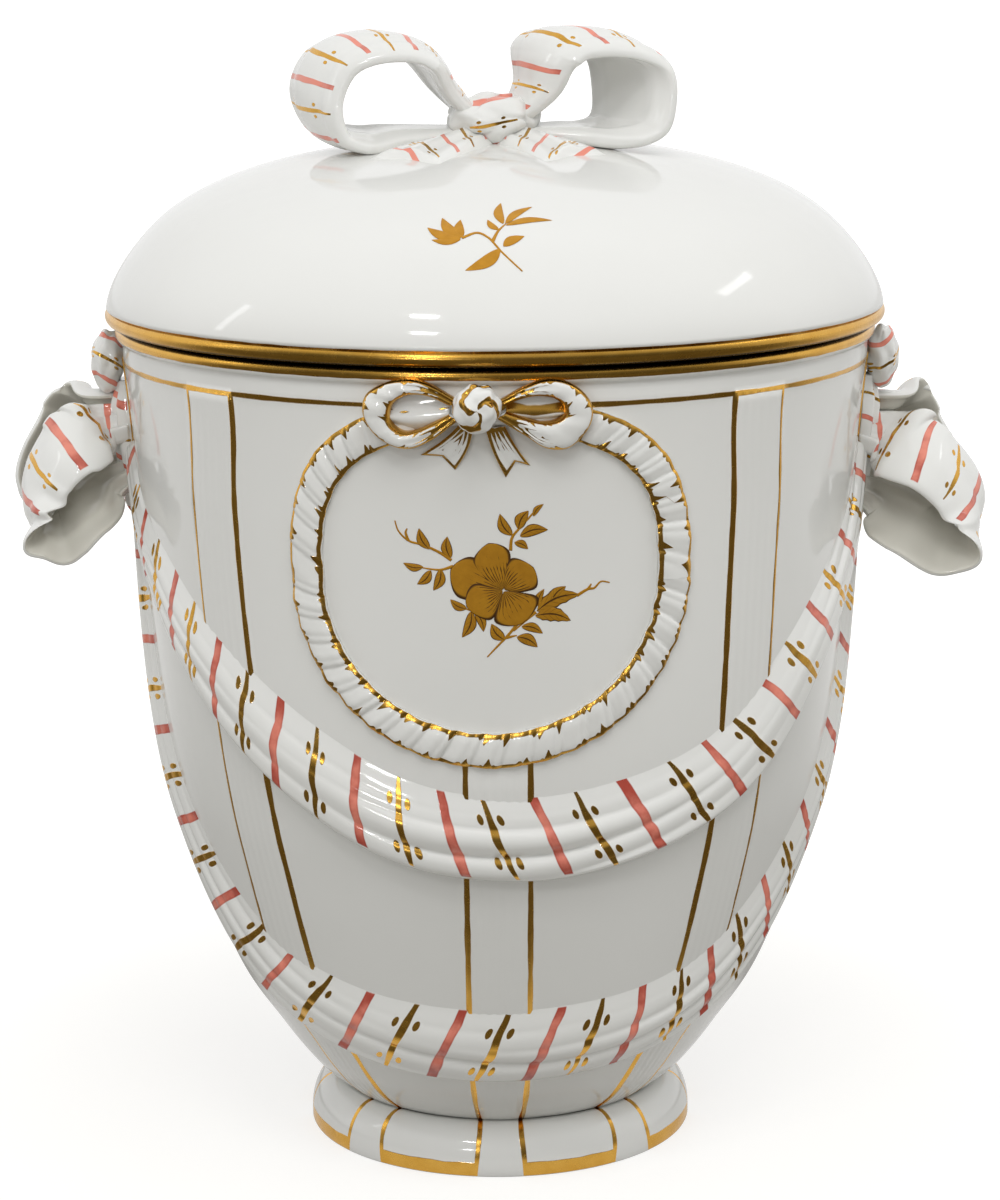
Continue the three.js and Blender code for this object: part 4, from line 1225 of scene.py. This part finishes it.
# Bow on the lid: the knob, modelled like the handles from rolled-out ribbon, with a low
# knot, two loops that stand up for the hand to grip, and two tails laid over the dome.
knob_forward = 9 * mm
knob_loops_forward = knob_forward + 3 * mm
knob_knot_forward = knob_forward + 3.5 * mm
knob_top = 320 * mm
knob_ribbon_half = 2.7 * mm
knob_crown = 3.3 * mm
knob_knot_size = (13 * mm, 10.5 * mm, 7.4 * mm)
knob_clearance = 2.2 * mm
knob_widths = (11, 33)
knob_thicknesses = (4.2, 5.4)
knob_bar_scale = 1.95
knob_tail_bar_scale = 1.7
knob_loops = (
    ("lid_bow_left_loop", -1, 49.8, 17.6, -0.7, 17, 10, 0.26, 0.60, 0.89),
    ("lid_bow_right_loop", 1, 39.6, 12.5, -1.3, 31, 12, 0.15, 0.64, 0.93),
)
knob_tails = (("lid_bow_left_tail", -1, 37, 41.0, 13.0), ("lid_bow_right_tail", 1, 40, 38.0, 12.0))
dome_steps = [on_dome(dome_lengths[-1] * step / 200)[0] for step in range(201)]


def dome_height(radius):
    for low, high in zip(dome_steps, dome_steps[1:]):
        if high.x <= radius:
            return mix(low.y, high.y, (low.x - radius) / max(1e-9, low.x - high.x))
    return lid_crown


def knob_loop(node, hand, reach, near, drop, turn, flare, shoulder, level_to, corner):
    top = knob_top - knob_crown - knob_ribbon_half - drop * mm

    def ground(out):
        return dome_height(out * mm) + knob_clearance

    def spot(out, height):
        return Vector((hand * out * mm, -knob_loops_forward, height))

    def between(share):
        return mix(near, reach, share)

    path = run_through([
        spot(4.4, mix(ground(11.4), top, 0.12)),
        spot(mix(11.4, near, 0.35), mix(ground(near), top, 0.52)),
        spot(between(0.2 * shoulder), mix(ground(near), top, 0.84)),
        spot(between(shoulder), top - 0.6 * mm),
        spot(between(level_to), top - 0.4 * mm),
        spot(between(corner), mix(ground(reach), top, 0.83)),
        spot(reach, mix(ground(reach), top, 0.50)),
        spot(between(corner), mix(ground(reach), top, 0.16)),
        spot(between(0.62), ground(between(0.62)) + 0.3 * mm),
        spot(between(0.30), ground(between(0.30))),
        spot(4.4, ground(10.9)),
    ])
    seed = Vector((hand * 5.0, 1, 7))

    def to_back(along):
        swing = radians(turn + flare * sin(pi * along) ** 3)
        return Vector((-sin(swing), cos(swing), 0.08)) * hand

    def folds(along, level):
        wave = 0.5 * noise.noise(Vector((along * 8, level * 1.4, 0)) + seed)
        groove = -0.6 * exp(-((abs(level) - 0.55) / 0.12) ** 2) * sin(pi * along) ** 0.5
        return (wave + groove) * mm * min(1, 3 * sin(pi * along) + 0.05)

    bend_ribbon(
        node, "lid", path,
        side_at=to_back,
        width_at=lambda along: mix(*knob_widths, min(1, 1.6 * sin(pi * along))) * mm,
        thick_at=lambda along: mix(*knob_thicknesses, min(1, 4 * sin(pi * along))) * mm,
        crown_at=lambda along: 3.2 * sin(pi * min(1, 1.3 * along)) * mm,
        folds_at=folds, phase=2 * mm, scale=knob_bar_scale, squared=False)


def knob_tail(node, hand, spread, length, half_width):
    turn = radians(spread)

    def place(along, around):
        reach = mix(5.0, length, along)
        half = mix(4.6, half_width, along ** 0.8)
        swing = 2 * pi * around
        level = power_of(cos(swing), 0.75)
        across = half * level
        notch = 3.0 * ease(along, 0.8, 1.0) * (1 - abs(level))
        wave = 1.4 * sin(3.2 * along + hand) * along
        x = hand * (sin(turn) * (reach - notch) + cos(turn) * (across + wave))
        y = -9 - cos(turn) * (reach - notch) + sin(turn) * (across + wave)
        thin = mix(1.0, 0.55, along) * (1 - 0.75 * abs(level) ** 3)
        pleat = 0.7 * cos(2.6 * pi * level + 0.8 * along) * (1 - 0.6 * along)
        body = (4.8 * thin + 1.5 * pleat * (1 - level * level)) * (1 - ease(along, 0.90, 1.0))
        rise = body * max(0, sin(swing)) ** 0.8 - 0.3
        point = Vector((x * mm, y * mm, dome_height(hypot(x, y) * mm) + rise * mm))
        half_painted = half * mm * knob_tail_bar_scale if sin(swing) > -0.1 else 0
        position = (reach * mm + 0.5 * across * mm) * knob_tail_bar_scale
        return point, (position, across * mm * knob_tail_bar_scale, half_painted)

    fire_piece(f"{node}_ribbon", roll_out(70, 40, place), ribbon_glaze, "ribbon_porcelain", "lid", node)


knot_height = dome_height(knob_forward) + (0.1 + 6.0) * mm
tie_knot("lid_bow_tied_knot", Vector((0, -knob_knot_forward, knot_height)), knob_knot_size, 0.0, 0.25, 0.12,
         barred(knob_knot_size, -0.15, knot_bar_scale), ribbon_glaze, "lid", "lid_bow_knot")
for loop in knob_loops:
    knob_loop(*loop)
for tail in knob_tails:
    knob_tail(*tail)


# Studio: the jar stands on pale paper in a white tent. Soft boxes light it from above and
# from both sides, and narrow windows and small lamps shine back in the glaze. The room
# behind the camera is dim, and the camera stands a metre off, a little above the lid.
floor_bm = bmesh.new()
bmesh.ops.create_grid(floor_bm, x_segments=2, y_segments=2, size=14)
floor_mesh = bpy.data.meshes.new("paper_floor")
floor_bm.to_mesh(floor_mesh)
floor_bm.free()
paper = bpy.data.objects.new("paper_floor", floor_mesh)
bpy.context.scene.collection.objects.link(paper)

paper_grey = (0.36, 0.35, 0.325, 1)
paper_shadow = (0.10, 0.09, 0.07, 1)
paper_finish = Finish("pale paper")
mirrored_ray = paper_finish.ray("Is Glossy Ray")
paper_out = paper_finish.radius()
dim_in_front = mirrored_ray * paper_finish.y.fade(0.3, -0.1) * paper_out.fade(0.10, 0.16)
paper_colour = paper_finish.blend(dim_in_front, paper_grey, paper_shadow)
paper_finish.feed(paper_finish.shader.inputs["Base Color"], paper_colour)
paper_finish.feed(paper_finish.shader.inputs["Roughness"], 0.9)
shown_white = paper_finish.ray("Is Camera Ray") * paper_out.fade(0.1, 0.45, 0.70, 1.0)
mirrored_glow = paper_finish.y.fade(-0.1, 0.5, 0.0, 0.6) | paper_out.fade(0.15, 0.09, 0.0, 0.5)
paper_glow = paper_finish.add("ShaderNodeEmission", {"Strength": shown_white + mirrored_ray * mirrored_glow})
paper_light = paper_finish.add("ShaderNodeAddShader", {
    0: paper_finish.read(paper_finish.shader),
    1: paper_finish.read(paper_glow),
})
paper_surface = paper_finish.tree.nodes["Material Output"].inputs["Surface"]
paper_finish.feed(paper_surface, paper_finish.read(paper_light))
floor_mesh.materials.append(paper_finish.material)

world = bpy.data.worlds.new("white tent")
bpy.context.scene.world = world
tent = Painter(world)
tent_lighting = 0.43
mirrored_room = 0.12
mirrored_ceiling = 0.5
backward, upward = tent.parts(tent.read(tent.add("ShaderNodeTexCoord"), "Generated"))[1:]
mirrored_front = mix(mirrored_room, mirrored_ceiling, upward.fade(0.25, 0.75))
mirrored_tent = mix(mirrored_front, 1.0, backward.fade(-0.55, 0.25))
unseen_tent = mix(tent_lighting, mirrored_tent, tent.ray("Is Glossy Ray"))
tent_light = tent.tree.nodes["Background"]
tent.feed(tent_light.inputs["Strength"], mix(unseen_tent, 1.0, tent.ray("Is Camera Ray")))
tent.feed(tent_light.inputs["Color"], (1, 1, 1, 1))


def soft_box(name, place, aim, size, power, mirrored):
    lamp = bpy.data.lights.new(name, "AREA")
    lamp.shape = "RECTANGLE"
    lamp.size, lamp.size_y = size
    lamp.energy = power
    holder = bpy.data.objects.new(name, lamp)
    holder.location = place
    holder.rotation_euler = (Vector(aim) - Vector(place)).to_track_quat("-Z", "Y").to_euler()
    holder.visible_glossy = mirrored
    bpy.context.scene.collection.objects.link(holder)


soft_boxes = (
    ("top_box", (0.15, -0.35, 1.55), (0, 0, 0.2), (1.2, 1.1), 3.3, False),
    ("front_box", (0.2, -1.2, 1.5), (0, 0, 0.16), (0.9, 0.9), 9.5, False),
    ("left_box", (-1.3, -0.15, 0.45), (0, 0, 0.15), (0.8, 0.8), 2.4, False),
    ("right_box", (1.3, -0.15, 0.45), (0, 0, 0.15), (0.8, 0.8), 3.4, False),
    ("left_window", (-1.17, -0.11, 0.74), (0, 0, 0.2), (0.06, 0.5), 0.3, True),
    ("right_window", (0.95, 0.05, 1.06), (0, 0, 0.2), (0.34, 0.06), 0.25, True),
)
small_lamps = ((-0.363, -0.832, 1.142), (-0.402, -1.058, 0.87), (-0.43, -1.225, 0.398))
for box in soft_boxes:
    soft_box(*box)
for number, place in enumerate(small_lamps):
    soft_box(f"small_lamp_{number}", place, (-0.018, -0.107, 0.248), (0.14, 0.05), 1.0, True)

focal_pixels = 3341
photo_height = 1200
sensor_width = 36
camera_place = (0, -0.9474, 0.3565)
camera_nod = radians(90 - 11.99)
camera_roll = radians(-0.40)
camera_data = bpy.data.cameras.new("camera")
camera_data.sensor_width = sensor_width
camera_data.lens = focal_pixels * sensor_width / photo_height
camera_data.shift_x = 3.2 / photo_height
camera = bpy.data.objects.new("camera", camera_data)
camera.matrix_world = (Matrix.Translation(camera_place) @ Matrix.Rotation(camera_nod, 4, "X")
                       @ Matrix.Rotation(camera_roll, 4, "Z"))
bpy.context.scene.collection.objects.link(camera)
bpy.context.scene.camera = camera
bpy.context.scene.view_settings.view_transform = "Standard"
